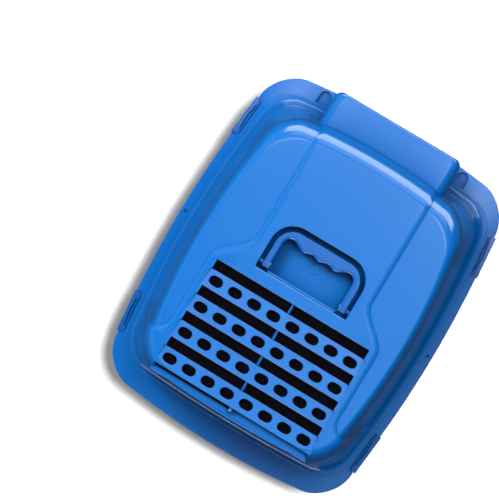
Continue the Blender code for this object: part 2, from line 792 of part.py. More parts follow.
def make_flap(smoke):
    """The entrance flap: a plate with rounded corners, a stiff top edge and a pin at each end of it."""
    half = DOOR_HALF_WIDTH - FLAP_GAP
    low = DOOR_SILL + FLAP_GAP
    top = FLAP_AXIS_RISE + FLAP_THICKNESS / 2
    radius = 0.0120
    right = arc((half - radius, low + radius), radius, -90, 0, 4) + [(half, top)]
    outline = [(x, FLANGE_TOP + rise) for x, rise in right + [(-x, rise) for x, rise in reversed(right)]]
    thick = FLAP_THICKNESS / 2
    plate = upright_prism(outline, FLAP_AXIS_Y - thick, FLAP_AXIS_Y + thick)
    flap = add_object("entrance_flap", plate, smoke)
    pins = bmesh.new()
    reach = DOOR_HALF_WIDTH + LUG_THICKNESS - 0.0006
    rod(pins, FLAP_PIN_RADIUS, (-reach, FLAP_AXIS_Y, flap_axis_z()), (reach, FLAP_AXIS_Y, flap_axis_z()))
    combine(flap, add_cutter("flap_pin", pins), "UNION")
    return set_origin(flap, Vector((0, FLAP_AXIS_Y, flap_axis_z())))


def tray_ring(off, z):
    """An outline of the tray's wall, measured inward from the hood's foot."""
    bows = (BODY_BOW, BODY_FRONT_BOW, BODY_REAR_BOW)
    return bowed_ring(BASE_HALF_WIDTH - off, BASE_FRONT - off, BASE_REAR - off, BODY_RADIUS, bows, z)


def make_tray(blue):
    """The litter pan: a rounded foot, drafted walls, a flat rim and a low upstand inside the hood."""
    rim_low = TRAY_RIM_TOP - TRAY_RIM_THICKNESS
    outer = UPSTAND_INSET
    inner = UPSTAND_INSET + TRAY_WALL
    foot = TRAY_FOOT_RADIUS
    rings = []
    for i in range(4):
        turn = math.pi / 2 * i / 3
        inset = outer + TRAY_TAPER + foot * (1 - math.sin(turn))
        rings.append(tray_ring(inset, foot * (1 - math.cos(turn))))
    rings.append(tray_ring(outer, rim_low))
    rim = WALL + GAP
    rings += [flange_ring(rim, rim_low), flange_ring(rim, TRAY_RIM_TOP), tray_ring(outer, TRAY_RIM_TOP)]
    rings += [tray_ring(outer, TRAY_RIM_TOP + UPSTAND_RISE), tray_ring(inner, TRAY_RIM_TOP + UPSTAND_RISE)]
    for i in range(3, -1, -1):
        turn = math.pi / 2 * i / 3
        inset = inner + TRAY_TAPER + foot * (1 - math.sin(turn))
        rings.append(tray_ring(inset, TRAY_WALL + foot * (1 - math.cos(turn))))
    tray = add_object("base_tray", loft(rings), blue)
    combine(tray, add_cutter("ear_pockets", ear_pockets()), "DIFFERENCE")
    combine(tray, add_cutter("rim_notches", rim_notches()), "DIFFERENCE")
    return tray


def ear_pockets():
    """Shallow pockets in the tray's rim, which the ears of the hood's clip hinges drop into."""
    half = NOTCH_LENGTH / 2
    floor = -EAR_DROP - GAP
    parts = []
    for _, x, y, turn in clip_sites():
        spans = []
        for end in (-1, 1):
            near, far = sorted((end * (half - EAR_LENGTH - 0.0008), end * (half + 0.0010)))
            spans.append((-0.0032, 0.0030, near, far, floor, 0.004))
        parts.append(placed(boxes(spans), clip_frame(x, y, turn)))
    return joined(parts)


def main():
    clear_scene()
    blue = plastic("hood_blue", BLUE, 0.22)
    trim = plastic("trim_blue", DARK_BLUE, 0.25)
    make_tray(plastic("tray_blue", BLUE, 0.25))
    make_hood(blue)
    make_handle(trim)
    make_clips(trim)
    make_pads(plastic("filter_felt", FELT_BLACK, 0.95))
    make_rack(plastic("rack_blue", DARK_BLUE, 0.30))
    make_flap(plastic("flap_smoke", SMOKE, 0.12))


main()
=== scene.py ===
"""Hooded cat litter box: a fine hood shell, carry handle, clips, felt pads, rack, entrance flap and tray,
modelled in place round the fixed frame, with their finishes, a pale floor, soft lights and a camera.

Metres, +Z up. The entrance faces -Y. Rises are heights above the top of the hood's flange.
"""

import math

import bmesh
import bpy
import numpy as np
from mathutils import Matrix, Vector


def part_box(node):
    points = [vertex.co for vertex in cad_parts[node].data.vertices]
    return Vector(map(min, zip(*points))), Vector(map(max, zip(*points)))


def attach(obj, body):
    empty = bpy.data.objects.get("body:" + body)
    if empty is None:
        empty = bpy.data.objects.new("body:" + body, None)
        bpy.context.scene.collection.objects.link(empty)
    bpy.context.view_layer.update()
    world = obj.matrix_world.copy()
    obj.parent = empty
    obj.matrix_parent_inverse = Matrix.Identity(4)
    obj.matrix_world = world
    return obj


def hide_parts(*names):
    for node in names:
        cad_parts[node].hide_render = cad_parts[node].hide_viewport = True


bl_info = {
    "name": "Hooded litter box",
    "version": (1, 0, 0),
    "blender": (4, 5, 0),
    "location": "3D View > Sidebar > Litter box",
    "description": "Models a hooded cat litter box round its frame, with finishes and a stage",
    "category": "Add Mesh",
}

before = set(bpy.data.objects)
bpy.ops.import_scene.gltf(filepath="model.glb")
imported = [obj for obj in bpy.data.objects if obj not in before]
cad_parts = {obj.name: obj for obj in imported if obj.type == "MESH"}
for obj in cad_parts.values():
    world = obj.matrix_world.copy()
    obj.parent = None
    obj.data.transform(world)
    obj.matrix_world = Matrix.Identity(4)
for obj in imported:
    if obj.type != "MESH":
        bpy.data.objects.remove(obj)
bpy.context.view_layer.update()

RING = 192  # points on each outline of the hood and the tray
GAP = 0.0004

# Flange
FLANGE_HALF_WIDTH = 0.2003
FLANGE_LENGTH = 0.2530
FLANGE_RADIUS = 0.046
FLANGE_BOWS = (0.0190, 0.0150, 0.0150)
FLANGE_TOP = 0.1412
LIP_DROP = 0.0110
FLANGE_FALL = 0.0009  # how far the top falls towards its edge

# Body of the hood
BASE_HALF_WIDTH = 0.1862
BASE_FRONT = 0.2235
BASE_REAR = 0.2170
BODY_RADIUS = 0.037
BODY_BOWS = (0.0180, 0.0115, 0.0065)
SKIRT_RISE = 0.0200
SKIRT_INSET = 0.0085
WALL_RISE = 0.1950
WALL_INSETS = (0.0350, 0.0385, 0.0280)  # side, front, rear
SHOULDERS = (0.0140, 0.0290, 0.0150)
SHOULDER_LOWS = (0.0, 0.62, 0.0)  # part of the shoulder's height that the wall still takes, by direction
SHOULDER_DRAFT = 0.0060  # how far the wall leans in over that part
ROOF_RISE = 0.2350
FOOT_LEDGE = 0.0040
FOOT_LEDGE_RISE = 0.0011

# Raised panel
PANEL_STEP = 0.0030
PANEL_TOP = FLANGE_TOP + ROOF_RISE + PANEL_STEP
PANEL_HALF_FRONT = 0.0807
PANEL_HALF_REAR = 0.1180
PANEL_CURVE = (-0.0225, 0.0285)
PANEL_ROUND = 0.0078
WING_END = 0.1357
WING_END_HALF = 0.0185
WING_END_SAG = 0.0180

# Porch and door
PORCH_HALVES = (0.0985, 0.0890)  # at the foot and at the top
PORCH_FRONTS = (-0.2475, -0.2300)
PORCH_RISE = 0.1900
PORCH_REAR = -0.1500
PORCH_SIDE_ROUND = 0.0120
PORCH_FRONT_ROUND = 0.0034
PORCH_CORNER = 0.0090
DOOR_HALF = 0.0750
DOOR_SILL = 0.0080
DOOR_HEAD = 0.1660
DOOR_RADIUS = 0.0080
DOOR_BACK = -0.2225

# Handle and its recess
RECESS_HALF = 0.0632
RECESS_FRONT = -0.0573
RECESS_REAR = 0.0110
RECESS_SHELF = 0.0030
SHELF_HALF = 0.0470
RECESS_DEPTH = 0.0240
RECESS_RADIUS = 0.0300
HANDLE_HALF = 0.0578
HANDLE_FRONT = -0.0508
HANDLE_RADIUS = 0.0240
HANDLE_LEG = 0.0097
HANDLE_THICKNESS = 0.0110
HANDLE_TOP = PANEL_TOP - 0.0010
HANDLE_AXIS = (0.0018, HANDLE_TOP - HANDLE_THICKNESS / 2)  # y and z
HANDLE_PIN = 0.0028
HANDLE_OUTER_CROWN = 0.22  # the outer edges are rounded this much of the inner ones
# Rear edge of the grip: the middle crest, inner valley, second crest, outer valley and the leg's corner
GRIP_EDGE = (
    (0.0000, -0.0318),
    (0.0108, -0.0350),
    (0.0215, -0.0318),
    (0.0395, -0.0389),
    (0.0481, -0.0290),
)

# Vent grille
GRILLE_HALF = 0.1068
SLOT_FRONTS = (0.0278, 0.0640, 0.1002, 0.1364)
SLOT_LENGTH = 0.0124
BAR_LENGTH = 0.0238
GRILLE_REAR = SLOT_FRONTS[-1] + SLOT_LENGTH + BAR_LENGTH
HOLES = 8
HOLE_PITCH = 0.0269
HOLE_HALVES = (0.0088, 0.0060)
BAR_DEPTH = 0.0060
BAR_RAMP = 0.0024
RIB_HALF = 0.0007
REAR_RIB_HALF = 0.0016
SIDE_GAP = 0.0012
RAIL = 0.0034
BLOCK_FRONT = SLOT_FRONTS[0] - 0.0060

# Pads, ledge and rack
PAD_TOP = PANEL_TOP - BAR_DEPTH - GAP
LEDGE_TOP = PAD_TOP - 0.0060 - GAP
LEDGE_REAR = 0.1844

# Flange details
POCKET_X = 0.1090
POCKET_Y = (-0.2360, -0.2240)
POCKET_HALF = 0.0085
POCKET_DEPTH = 0.0050
TUB_WALL = 0.0014
EYE = (0.1935, -0.0030, 0.0021)

# Clips
CLIP_YS = {"front": -0.1590, "rear": 0.1560}
CLIP_HALF = 0.0300
CLIP_THICKNESS = 0.0022
CLIP_DROP = 0.0250
CLIP_PIN = 0.0012
CLIP_INSET = 0.0078
CLIP_PROUD = 0.0008
NOTCH_HALF = 0.0310
NOTCH_DEPTH = 0.0098
EAR_LENGTH = 0.0040
EAR_DROP = 0.0026

# Flap and tray
FLAP_AXIS = (-0.2298, FLANGE_TOP + 0.1605)
FLAP_THICKNESS = 0.0030
LUG_HALF = 0.0045
TRAY_WALL = 0.0026
TRAY_TAPER = 0.0240
TRAY_FOOT = 0.0140

PANEL_SCORE = 0.0004
PANEL_SCORE_SHARE = 0.30
PANEL_FADE_RISE = 0.006
PANEL_FADE = 0.014

PLASTIC_IOR = 1.49
# Painted shade in hollows: how far the ambient occlusion looks, and how dark a colour it paints there.
CAVITY_REACH = 0.045
CAVITY_SHADE = 0.35


# ---------------------------------------------------------------- modelling helpers


def start_fresh():
    """Leaves edit mode and selects nothing."""
    if bpy.context.object and bpy.context.object.mode != "OBJECT":
        bpy.ops.object.mode_set(mode="OBJECT")
    bpy.ops.object.select_all(action="DESELECT")


def pick(piece):
    """Makes one piece the only selected one."""
    start_fresh()
    piece.select_set(True)
    bpy.context.view_layer.objects.active = piece
    return piece


def place_ring(piece, ring):
    """Moves the selected points of a drawn solid onto an outline, in order."""
    mesh = bmesh.from_edit_mesh(piece.data)
    order = mesh.verts.layers.int["order"]
    for vert in mesh.verts:
        if vert.select:
            vert.co = ring[vert[order]]
    bmesh.update_edit_mesh(piece.data)


def drawn(name, rings):
    """A closed solid through outlines: a filled circle is extruded once for each and moved onto it."""
    start_fresh()
    count = len(rings[0])
    bpy.ops.mesh.primitive_circle_add(vertices=count, fill_type="NGON", location=(0, 0, 0))
    piece = bpy.context.object
    piece.name = piece.data.name = name
    piece.data.attributes.new("order", "INT", "POINT").data.foreach_set("value", list(range(count)))
    bpy.ops.object.mode_set(mode="EDIT")
    bpy.ops.mesh.select_all(action="SELECT")
    place_ring(piece, rings[0])
    for ring in rings[1:]:
        bpy.ops.mesh.extrude_region_move()
        place_ring(piece, ring)
    bpy.ops.mesh.select_all(action="SELECT")
    bpy.ops.mesh.normals_make_consistent(inside=False)
    bpy.ops.object.mode_set(mode="OBJECT")
    piece.data.attributes.remove(piece.data.attributes["order"])
    return piece


def joined(name, pieces):
    """Several pieces as one mesh."""
    start_fresh()
    for piece in pieces:
        piece.select_set(True)
    bpy.context.view_layer.objects.active = pieces[0]
    if len(pieces) > 1:
        bpy.ops.object.join()
    pieces[0].name = name
    return pieces[0]


def block(name, *spans):
    """Cubes, each given as x0, x1, y0, y1, z0, z1, in one mesh."""
    made = []
    for x0, x1, y0, y1, z0, z1 in spans:
        start_fresh()
        middle = ((x0 + x1) / 2, (y0 + y1) / 2, (z0 + z1) / 2)
        bpy.ops.mesh.primitive_cube_add(size=1, location=middle, scale=(x1 - x0, y1 - y0, z1 - z0))
        bpy.ops.object.transform_apply(location=True, rotation=True, scale=True)
        made.append(bpy.context.object)
    return joined(name, made)


def rod(name, radius, start, end, segments=24):
    """A cylinder between two points."""
    start_fresh()
    along = Vector(end) - Vector(start)
    turn = along.to_track_quat("Z", "Y").to_euler()
    bpy.ops.mesh.primitive_cylinder_add(
        vertices=segments,
        radius=radius,
        depth=along.length,
        location=(Vector(start) + Vector(end)) / 2,
        rotation=turn,
    )
    bpy.ops.object.transform_apply(location=True, rotation=True, scale=True)
    bpy.context.object.name = name
    return bpy.context.object


def combine(piece, tool, operation):
    """Adds or cuts the tool, and throws it away."""
    pick(piece)
    change = piece.modifiers.new(tool.name, "BOOLEAN")
    change.operation = operation
    change.object = tool
    change.solver = "EXACT"
    bpy.ops.object.modifier_apply(modifier=change.name)
    bpy.data.objects.remove(tool)
    if not piece.data.polygons:
        raise RuntimeError(f"{piece.name} vanished at {change.name}")
    return piece


def eased(piece, width, segments=2, angle=30):
    """Rounds every edge sharper than the angle by a small width."""
    pick(piece)
    bevel = piece.modifiers.new("ease", "BEVEL")
    bevel.width = width
    bevel.segments = segments
    bevel.limit_method = "ANGLE"
    bevel.angle_limit = math.radians(angle)
    bpy.ops.object.modifier_apply(modifier=bevel.name)
    return piece


def finished(piece, material, angle=34):
    """Cleans a mesh, shades it smooth between sharp edges and gives it its finish."""
    pick(piece)
    bpy.ops.object.mode_set(mode="EDIT")
    bpy.ops.mesh.select_all(action="SELECT")
    bpy.ops.mesh.remove_doubles(threshold=0.000005)
    bpy.ops.mesh.normals_make_consistent(inside=False)
    bpy.ops.object.mode_set(mode="OBJECT")
    piece.data.materials.clear()
    piece.data.materials.append(material)
    bpy.ops.object.shade_smooth_by_angle(angle=math.radians(angle))
    weights = piece.modifiers.new("weights", "WEIGHTED_NORMAL")
    weights.keep_sharp = True
    bpy.ops.object.modifier_apply(modifier=weights.name)
    return piece


def kept(piece, body, slot, *nodes):
    """Hangs a finished piece on its body, in place of its nodes."""
    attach(piece, body)
    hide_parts(*nodes)


def arc(centre, radius, start, end, steps):
    turns = [math.radians(start + (end - start) * i / steps) for i in range(steps + 1)]
    return [(centre[0] + radius * math.cos(t), centre[1] + radius * math.sin(t)) for t in turns]


def level(outline, z):
    return [Vector((x, y, z)) for x, y in outline]


def mirrored(right):
    """Both halves of an outline whose right half runs from the middle line round to the middle line."""
    return right + [(-x, y) for x, y in reversed(right)]


# ---------------------------------------------------------------- outlines


def bowed_ring(half_width, front, rear, radius, bows, z, count=RING):
    """A rounded rectangle with bulging sides and ends, whose bows are side, front and rear."""
    quarter = count // 4
    corner_steps = quarter // 2
    side_steps = (quarter - corner_steps + 1) // 2
    end_steps = quarter - corner_steps - side_steps
    points = []
    for turn, (sx, sy) in enumerate(((1, -1), (1, 1), (-1, 1), (-1, -1))):
        length = front if sy < 0 else rear
        end_bow = bows[1] if sy < 0 else bows[2]
        straight = length - radius
        run = [(half_width, straight * (i + 0.5) / side_steps) for i in range(side_steps)]
        for i in range(corner_steps):
            a = math.pi / 2 * (i + 0.5) / corner_steps
            run.append((half_width - radius + radius * math.cos(a), straight + radius * math.sin(a)))
        flat = half_width - radius
        run += [(flat * (end_steps - i - 0.5) / end_steps, length) for i in range(end_steps)]
        if turn % 2 == 0:
            run.reverse()
        for x, y in run:
            bowed_x = x * (1 - bows[0] / half_width * (y / length) ** 2)
            bowed_y = y * (1 - end_bow / length * (x / half_width) ** 2)
            points.append(Vector((sx * bowed_x, sy * bowed_y, z)))
    return points


def flange_ring(off, z, count=RING):
    half = FLANGE_HALF_WIDTH - off
    length = FLANGE_LENGTH - off
    return bowed_ring(half, length, length, FLANGE_RADIUS, FLANGE_BOWS, z, count)


def body_ring(rise, insets, off=0.0, count=RING):
    """One outline of the body. The insets are side, front and rear."""
    return bowed_ring(
        BASE_HALF_WIDTH - insets[0] - off,
        BASE_FRONT - insets[1] - off,
        BASE_REAR - insets[2] - off,
        BODY_RADIUS,
        BODY_BOWS,
        FLANGE_TOP + rise,
        count,
    )


def shoulder_rings(off, steps, count=RING):
    """The drafted wall's top and the round shoulder above it."""
    rings = []
    for i in range(steps + 1):
        climb = 1 - (1 - i / steps) ** 2
        insets = []
        for wall, reach, low in zip(WALL_INSETS, SHOULDERS, SHOULDER_LOWS):
            if low == 0:
                insets.append(wall + reach * (1 - math.sqrt(1 - climb**2)))
            elif climb <= low:
                insets.append(wall + SHOULDER_DRAFT * climb / low)
            else:
                left = 1 - math.sqrt((1 - climb) / (1 - low))
                insets.append(wall + SHOULDER_DRAFT + (reach - SHOULDER_DRAFT) * left)
        rings.append(body_ring(WALL_RISE + (ROOF_RISE - off - WALL_RISE) * climb, insets, off, count))
    return rings


def outer_rings(round_edge=0.0012):
    """The outside of the hood, from the lip of the flange to the roof."""
    lip = FLANGE_TOP - LIP_DROP
    rings = [flange_ring(0.0012, lip), flange_ring(0.0005, lip + 0.0004), flange_ring(0.0003, lip + 0.0012)]
    for i in range(5):
        turn = math.pi / 2 * i / 4
        off = round_edge * (1 - math.cos(turn))
        rings.append(flange_ring(off, FLANGE_TOP - FLANGE_FALL - round_edge * (1 - math.sin(turn))))
    none = (0, 0, 0)
    rings.append(body_ring(0, none, -FOOT_LEDGE))
    rings.append(body_ring(FOOT_LEDGE_RISE * 0.7, none, -FOOT_LEDGE + 0.0002))
    rings.append(body_ring(FOOT_LEDGE_RISE, none, -FOOT_LEDGE + 0.0007))
    steps = 7
    for i in range(steps + 1):
        turn = math.pi / 2 * i / steps
        rise = FOOT_LEDGE_RISE + (SKIRT_RISE - FOOT_LEDGE_RISE) * (1 - math.cos(turn))
        rings.append(body_ring(rise, (SKIRT_INSET * math.sin(turn),) * 3))
    for i in range(1, 4):
        part = i / 4
        insets = [SKIRT_INSET + (w - SKIRT_INSET) * part for w in WALL_INSETS]
        rings.append(body_ring(SKIRT_RISE + (WALL_RISE - SKIRT_RISE) * part, insets))
    return rings + shoulder_rings(0, 24)


def panel_line():
    """The right edge of the raised panel in plan, from in front of the hood to beside it."""
    line = [(PANEL_HALF_FRONT, -0.30), (PANEL_HALF_FRONT, -0.12)]
    steps = 18
    for i in range(steps + 1):
        part = i / steps
        sweep = (1 - math.cos(math.pi * part)) / 2
        x = PANEL_HALF_FRONT + (PANEL_HALF_REAR - PANEL_HALF_FRONT) * sweep
        line.append((x, PANEL_CURVE[0] + (PANEL_CURVE[1] - PANEL_CURVE[0]) * part))
    base = WING_END - WING_END_SAG
    line.append((PANEL_HALF_REAR, 0.07))
    middle = PANEL_HALF_REAR + WING_END_HALF
    for i in range(15):
        turn = math.pi * (1 - i / 14)
        line.append((middle + WING_END_HALF * math.cos(turn), base + WING_END_SAG * math.sin(turn)))
    return line + [(0.25, base)]


def line_moved(line, amount):
    """A line moved sideways, to its left, with mitred corners."""
    points = [Vector(p) for p in line]
    lefts = []
    for a, b in zip(points, points[1:]):
        along = (b - a).normalized()
        lefts.append(Vector((-along.y, along.x)))
    moved = []
    for i, point in enumerate(points):
        before = lefts[max(i - 1, 0)]
        after = lefts[min(i, len(lefts) - 1)]
        moved.append(tuple(point + (before + after) * amount / (1 + before.dot(after))))
    return moved


def panel_depths(places):
    """How far inside the panel's edge each place is in plan, and 0 outside it."""
    line = np.array(panel_line())
    spots = np.column_stack([np.abs(places[:, 0]), places[:, 1]])
    near = np.full(len(spots), 1.0)
    for a, b in zip(line, line[1:]):
        along = b - a
        part = np.clip(((spots - a) @ along) / (along @ along), 0, 1)
        near = np.minimum(near, np.linalg.norm(spots - a - part[:, None] * along, axis=1))
    closed = np.vstack([line, [(0.25, 0.30), (-0.01, 0.30), (-0.01, -0.30)]])
    inside = np.zeros(len(spots), bool)
    for a, b in zip(closed, np.roll(closed, -1, axis=0)):
        crosses = (a[1] > spots[:, 1]) != (b[1] > spots[:, 1])
        if a[1] != b[1]:
            at = a[0] + (spots[:, 1] - a[1]) * (b[0] - a[0]) / (b[1] - a[1])
            inside ^= crosses & (spots[:, 0] < at)
    return np.where(inside, near, 0.0)


def panel_prism(name, off, low, high):
    line = line_moved(panel_line(), off)
    outline = mirrored(line + [(0.26, 0.30)])
    return drawn(name, [level(outline, low), level(outline, high)])


# ---------------------------------------------------------------- hood


def curtains():
    """Upright ribbons along the panel's edge and its rounding, which the shell is scored with."""
    made = []
    low = FLANGE_TOP - 0.04
    for off in (0.0, 0.0004, 0.0013, 0.0026, 0.0041, 0.0058, PANEL_ROUND):
        line = line_moved(panel_line(), off)
        for side in (1, -1):
            start_fresh()
            bpy.ops.mesh.primitive_plane_add(size=0.1, location=(0, 0, 0))
            ribbon = bpy.context.object
            bpy.ops.object.mode_set(mode="EDIT")
            mesh = bmesh.from_edit_mesh(ribbon.data)
            mesh.clear()
            feet = [mesh.verts.new((side * x, y, low)) for x, y in line]
            for a, b in zip(feet, feet[1:]):
                mesh.edges.new((a, b))
            bmesh.update_edit_mesh(ribbon.data)
            bpy.ops.mesh.select_all(action="SELECT")
            bpy.ops.mesh.extrude_region_move(TRANSFORM_OT_translate={"value": (0, 0, 0.32)})
            bpy.ops.object.mode_set(mode="OBJECT")
            made.append(ribbon)
    return joined("curtains", made)


def raise_panel(hood):
    """Scores the shell along the panel's edge and lifts what is inside it, with a rounded brow."""
    shell = bpy.data.materials.new("shell")
    cloth = bpy.data.materials.new("curtain")
    ribbons = curtains()
    hood.data.materials.append(shell)
    ribbons.data.materials.append(cloth)
    pick(hood)
    ribbons.select_set(True)
    bpy.ops.object.join()
    bpy.ops.object.mode_set(mode="EDIT")
    bpy.ops.mesh.select_mode(type="FACE")
    select_faces(hood, lambda face: face.material_index == 1)
    bpy.ops.mesh.intersect(mode="SELECT_UNSELECT", separate_mode="NONE", solver="EXACT")
    select_faces(hood, lambda face: face.material_index == 1)
    bpy.ops.mesh.delete(type="FACE")
    select_faces(hood, lambda face: len(face.verts) > 4 and face.calc_center_median().z > FLANGE_TOP)
    bpy.ops.mesh.quads_convert_to_tris(quad_method="BEAUTY", ngon_method="BEAUTY")
    bpy.ops.mesh.select_mode(type="VERT")
    bpy.ops.object.mode_set(mode="OBJECT")
    hood.data.materials.clear()
    count = len(hood.data.vertices)
    places = np.empty(count * 3)
    hood.data.vertices.foreach_get("co", places)
    places = places.reshape(-1, 3)
    normals = np.empty(count * 3)
    hood.data.vertex_normals.foreach_get("vector", normals)
    normals = normals.reshape(-1, 3)
    depth = np.minimum(panel_depths(places), PANEL_ROUND) / PANEL_ROUND
    steep = np.minimum(panel_depths(places) / PANEL_SCORE, 1) * PANEL_SCORE_SHARE
    lift = PANEL_STEP * (steep + (1 - PANEL_SCORE_SHARE) * np.sin(np.pi / 2 * depth))
    rise = np.clip((places[:, 2] - FLANGE_TOP - PANEL_FADE_RISE) / PANEL_FADE, 0, 1)
    lift *= rise * rise * (3 - 2 * rise)
    hood.data.vertices.foreach_set("co", (places + normals * lift[:, None]).ravel())
    hood.data.update()


def select_faces(piece, wanted):
    """Selects the faces that a test picks, in edit mode."""
    bpy.ops.mesh.select_all(action="DESELECT")
    mesh = bmesh.from_edit_mesh(piece.data)
    for face in mesh.faces:
        if wanted(face):
            face.select_set(True)
    mesh.select_flush_mode()
    bmesh.update_edit_mesh(piece.data)


def porch(name, off):
    """The porch, drafted and rounded over at the top. Off moves its faces inward."""
    rings = []
    low = -0.0024 if off == 0 else -0.0048
    top = PORCH_RISE - off
    heights = [(low, 0.0), (0.03, 0.0), (0.09, 0.0), (0.14, 0.0)]
    side = max(PORCH_SIDE_ROUND - off, 0.001)
    front = max(PORCH_FRONT_ROUND - off, 0.0006)
    steps = 7
    for i in range(steps + 1):
        heights.append((top - side * (1 - math.sin(math.pi / 2 * i / steps)), math.pi / 2 * i / steps))
    for rise, turn in heights:
        part = rise / PORCH_RISE
        half = PORCH_HALVES[0] + (PORCH_HALVES[1] - PORCH_HALVES[0]) * part - off
        face = PORCH_FRONTS[0] + (PORCH_FRONTS[1] - PORCH_FRONTS[0]) * part + off
        half -= side * (1 - math.cos(turn))
        face += front * (1 - math.cos(turn)) ** 2
        corner = PORCH_CORNER - off
        right = [(half, PORCH_REAR), (half, -0.19)]
        right += arc((half - corner, face + corner), corner, 0, -90, 8)
        rings.append(level(mirrored(right), FLANGE_TOP + rise))
    return drawn(name, rings)


def recess_outline(off, rear):
    half = RECESS_HALF + off
    radius = RECESS_RADIUS + off
    small = 0.0014 + max(off, 0)
    right = arc((half - small, rear + off - small), small, 90, 0, 3)
    return mirrored(right + arc((half - radius, RECESS_FRONT - off + radius), radius, 0, -90, 12))


def mouth(outline, floor, top, lip, fillet=0.0):
    """Rings of a cutter with a rounded mouth, and a fillet at its floor where one is given."""
    rings = []
    if fillet:
        for i in range(4):
            turn = math.pi / 2 * i / 3
            rings.append((-fillet * (1 - math.sin(turn)), floor + fillet * (1 - math.cos(turn))))
    else:
        rings.append((0.0, floor))
    for i in range(5):
        turn = math.pi / 2 * i / 4
        rings.append((lip * (1 - math.cos(turn)), top - lip + (lip + 0.00004) * math.sin(turn)))
    rings.append((lip, top + 0.008))
    return [level(outline(grow), z) for grow, z in rings]


def cut_handle_recess(hood):
    """The deep tub that the handle lies in, its shelf at the rear and the gate mark on its floor."""
    floor = PANEL_TOP - RECESS_DEPTH
    tub = [level(recess_outline(0.0024, RECESS_REAR), z) for z in (floor - 0.0024, PANEL_TOP - 0.0016)]
    combine(hood, drawn("tub", tub), "UNION")
    rings = mouth(lambda grow: recess_outline(grow, RECESS_REAR), floor, PANEL_TOP, 0.0016, 0.0025)
    combine(hood, drawn("deep", rings), "DIFFERENCE")
    shelf = PANEL_TOP - 0.0030
    rear = RECESS_REAR + 0.0010
    front = RECESS_REAR - RECESS_SHELF
    step = block("shelf", (-SHELF_HALF, SHELF_HALF, front, rear, floor - 0.0010, shelf))
    combine(hood, eased(step, 0.0007, 3), "UNION")
    for radius, height in ((0.0064, 0.0005), (0.0012, 0.0012)):
        rings = []
        for grow, z in ((0.0004, -0.0005), (0.0004, 0), (0, height * 0.8), (-0.0004, height)):
            circle = arc((0, -0.0220), radius + grow, 0, 360, 32)[:-1]
            rings.append(level(circle, floor + z))
        combine(hood, drawn("gate_mark", rings), "UNION")


def slot_profile(front):
    """A slot across the grille in side view, its two long edges rounded over."""
    lip = 0.0016
    rear = front + SLOT_LENGTH
    low_edge = PANEL_TOP - BAR_RAMP
    points = [(front, PANEL_TOP - 0.012)]
    for i in range(5):
        turn = math.pi / 2 * i / 4
        drop = (lip + 0.00004) * math.sin(turn) - lip
        points.append((front - lip * (1 - math.cos(turn)), PANEL_TOP + drop))
    points += [(front - lip, PANEL_TOP + 0.004), (rear + lip, PANEL_TOP + 0.004)]
    for i in range(4, -1, -1):
        turn = math.pi / 2 * i / 4
        drop = (lip + 0.00020) * math.sin(turn) - lip
        points.append((rear + lip * (1 - math.cos(turn)), low_edge + drop))
    return points + [(rear, PANEL_TOP - 0.012)]


def across(name, profile, x0, x1):
    """A side-view profile of (y, z), drawn from one x to another."""
    return drawn(name, [[Vector((x, y, z)) for y, z in profile] for x in (x0, x1)])


def hole_outline(y, grow):
    straight = HOLE_HALVES[0] - HOLE_HALVES[1]
    radius = HOLE_HALVES[1] + grow
    return arc((straight, y), radius, -90, 90, 10) + arc((-straight, y), radius, 90, 270, 10)


def grille_hole(x, y):
    """A cutter for one oblong hole, its mouth lying along the bar's slope."""
    lip = 0.0010
    slope = BAR_RAMP / BAR_LENGTH
    mid = PANEL_TOP - BAR_RAMP / 2
    steps = [(0.0, -0.012)]
    for i in range(4):
        turn = math.pi / 2 * i / 3
        steps.append((lip * (1 - math.cos(turn)), (lip + 0.00004) * math.sin(turn) - lip))
    steps.append((lip, 0.006))
    rings = []
    for grow, z in steps:
        ring = hole_outline(y, grow)
        rings.append([Vector((x + px, py, mid + z + (py - y) * slope)) for px, py in ring])
    return drawn("hole", rings)


def cut_grille(hood):
    """Ramped bars with slots between them and a row of oblong holes in each."""
    ramps, slots, holes = [], [], []
    half = GRILLE_HALF + 0.0021
    for front in SLOT_FRONTS:
        rear = front + SLOT_LENGTH
        low = PANEL_TOP - BAR_RAMP
        end = rear + BAR_LENGTH
        ramp = [(rear - 0.0002, low), (end, PANEL_TOP + 0.00005), (end, PANEL_TOP + 0.004)]
        ramps.append(across("ramp", ramp + [(rear - 0.0002, PANEL_TOP + 0.004)], -half, half))
        for side in (1, -1):
            edges = sorted((side * RIB_HALF, side * GRILLE_HALF))
            slots.append(across("slot", slot_profile(front), *edges))
        middle = rear + BAR_LENGTH / 2
        for i in range(HOLES):
            holes.append(grille_hole((i - (HOLES - 1) / 2) * HOLE_PITCH, middle))
    combine(hood, joined("ramps", ramps), "DIFFERENCE")
    combine(hood, joined("slots", slots), "DIFFERENCE")
    combine(hood, joined("holes", holes), "DIFFERENCE")


def ledge_outline(grow):
    half = GRILLE_HALF + SIDE_GAP + grow
    front = GRILLE_REAR - grow * 0.2
    return [(half, front), (half, 0.23), (-half, 0.23), (-half, front)]


def rib_profile():
    """The quarter-round rib from the last bar down to the ledge."""
    top = PANEL_TOP - 0.0008
    reach = LEDGE_REAR - 0.0030 - GRILLE_REAR
    profile = [(GRILLE_REAR - 0.0020, LEDGE_TOP - 0.0010), (GRILLE_REAR - 0.0020, top)]
    for i in range(9):
        turn = math.pi / 2 * i / 8
        z = LEDGE_TOP + (top - LEDGE_TOP) * math.cos(turn) - 0.0004
        profile.append((GRILLE_REAR + reach * math.sin(turn), z))
    return profile + [(GRILLE_REAR + reach, LEDGE_TOP - 0.0010)]


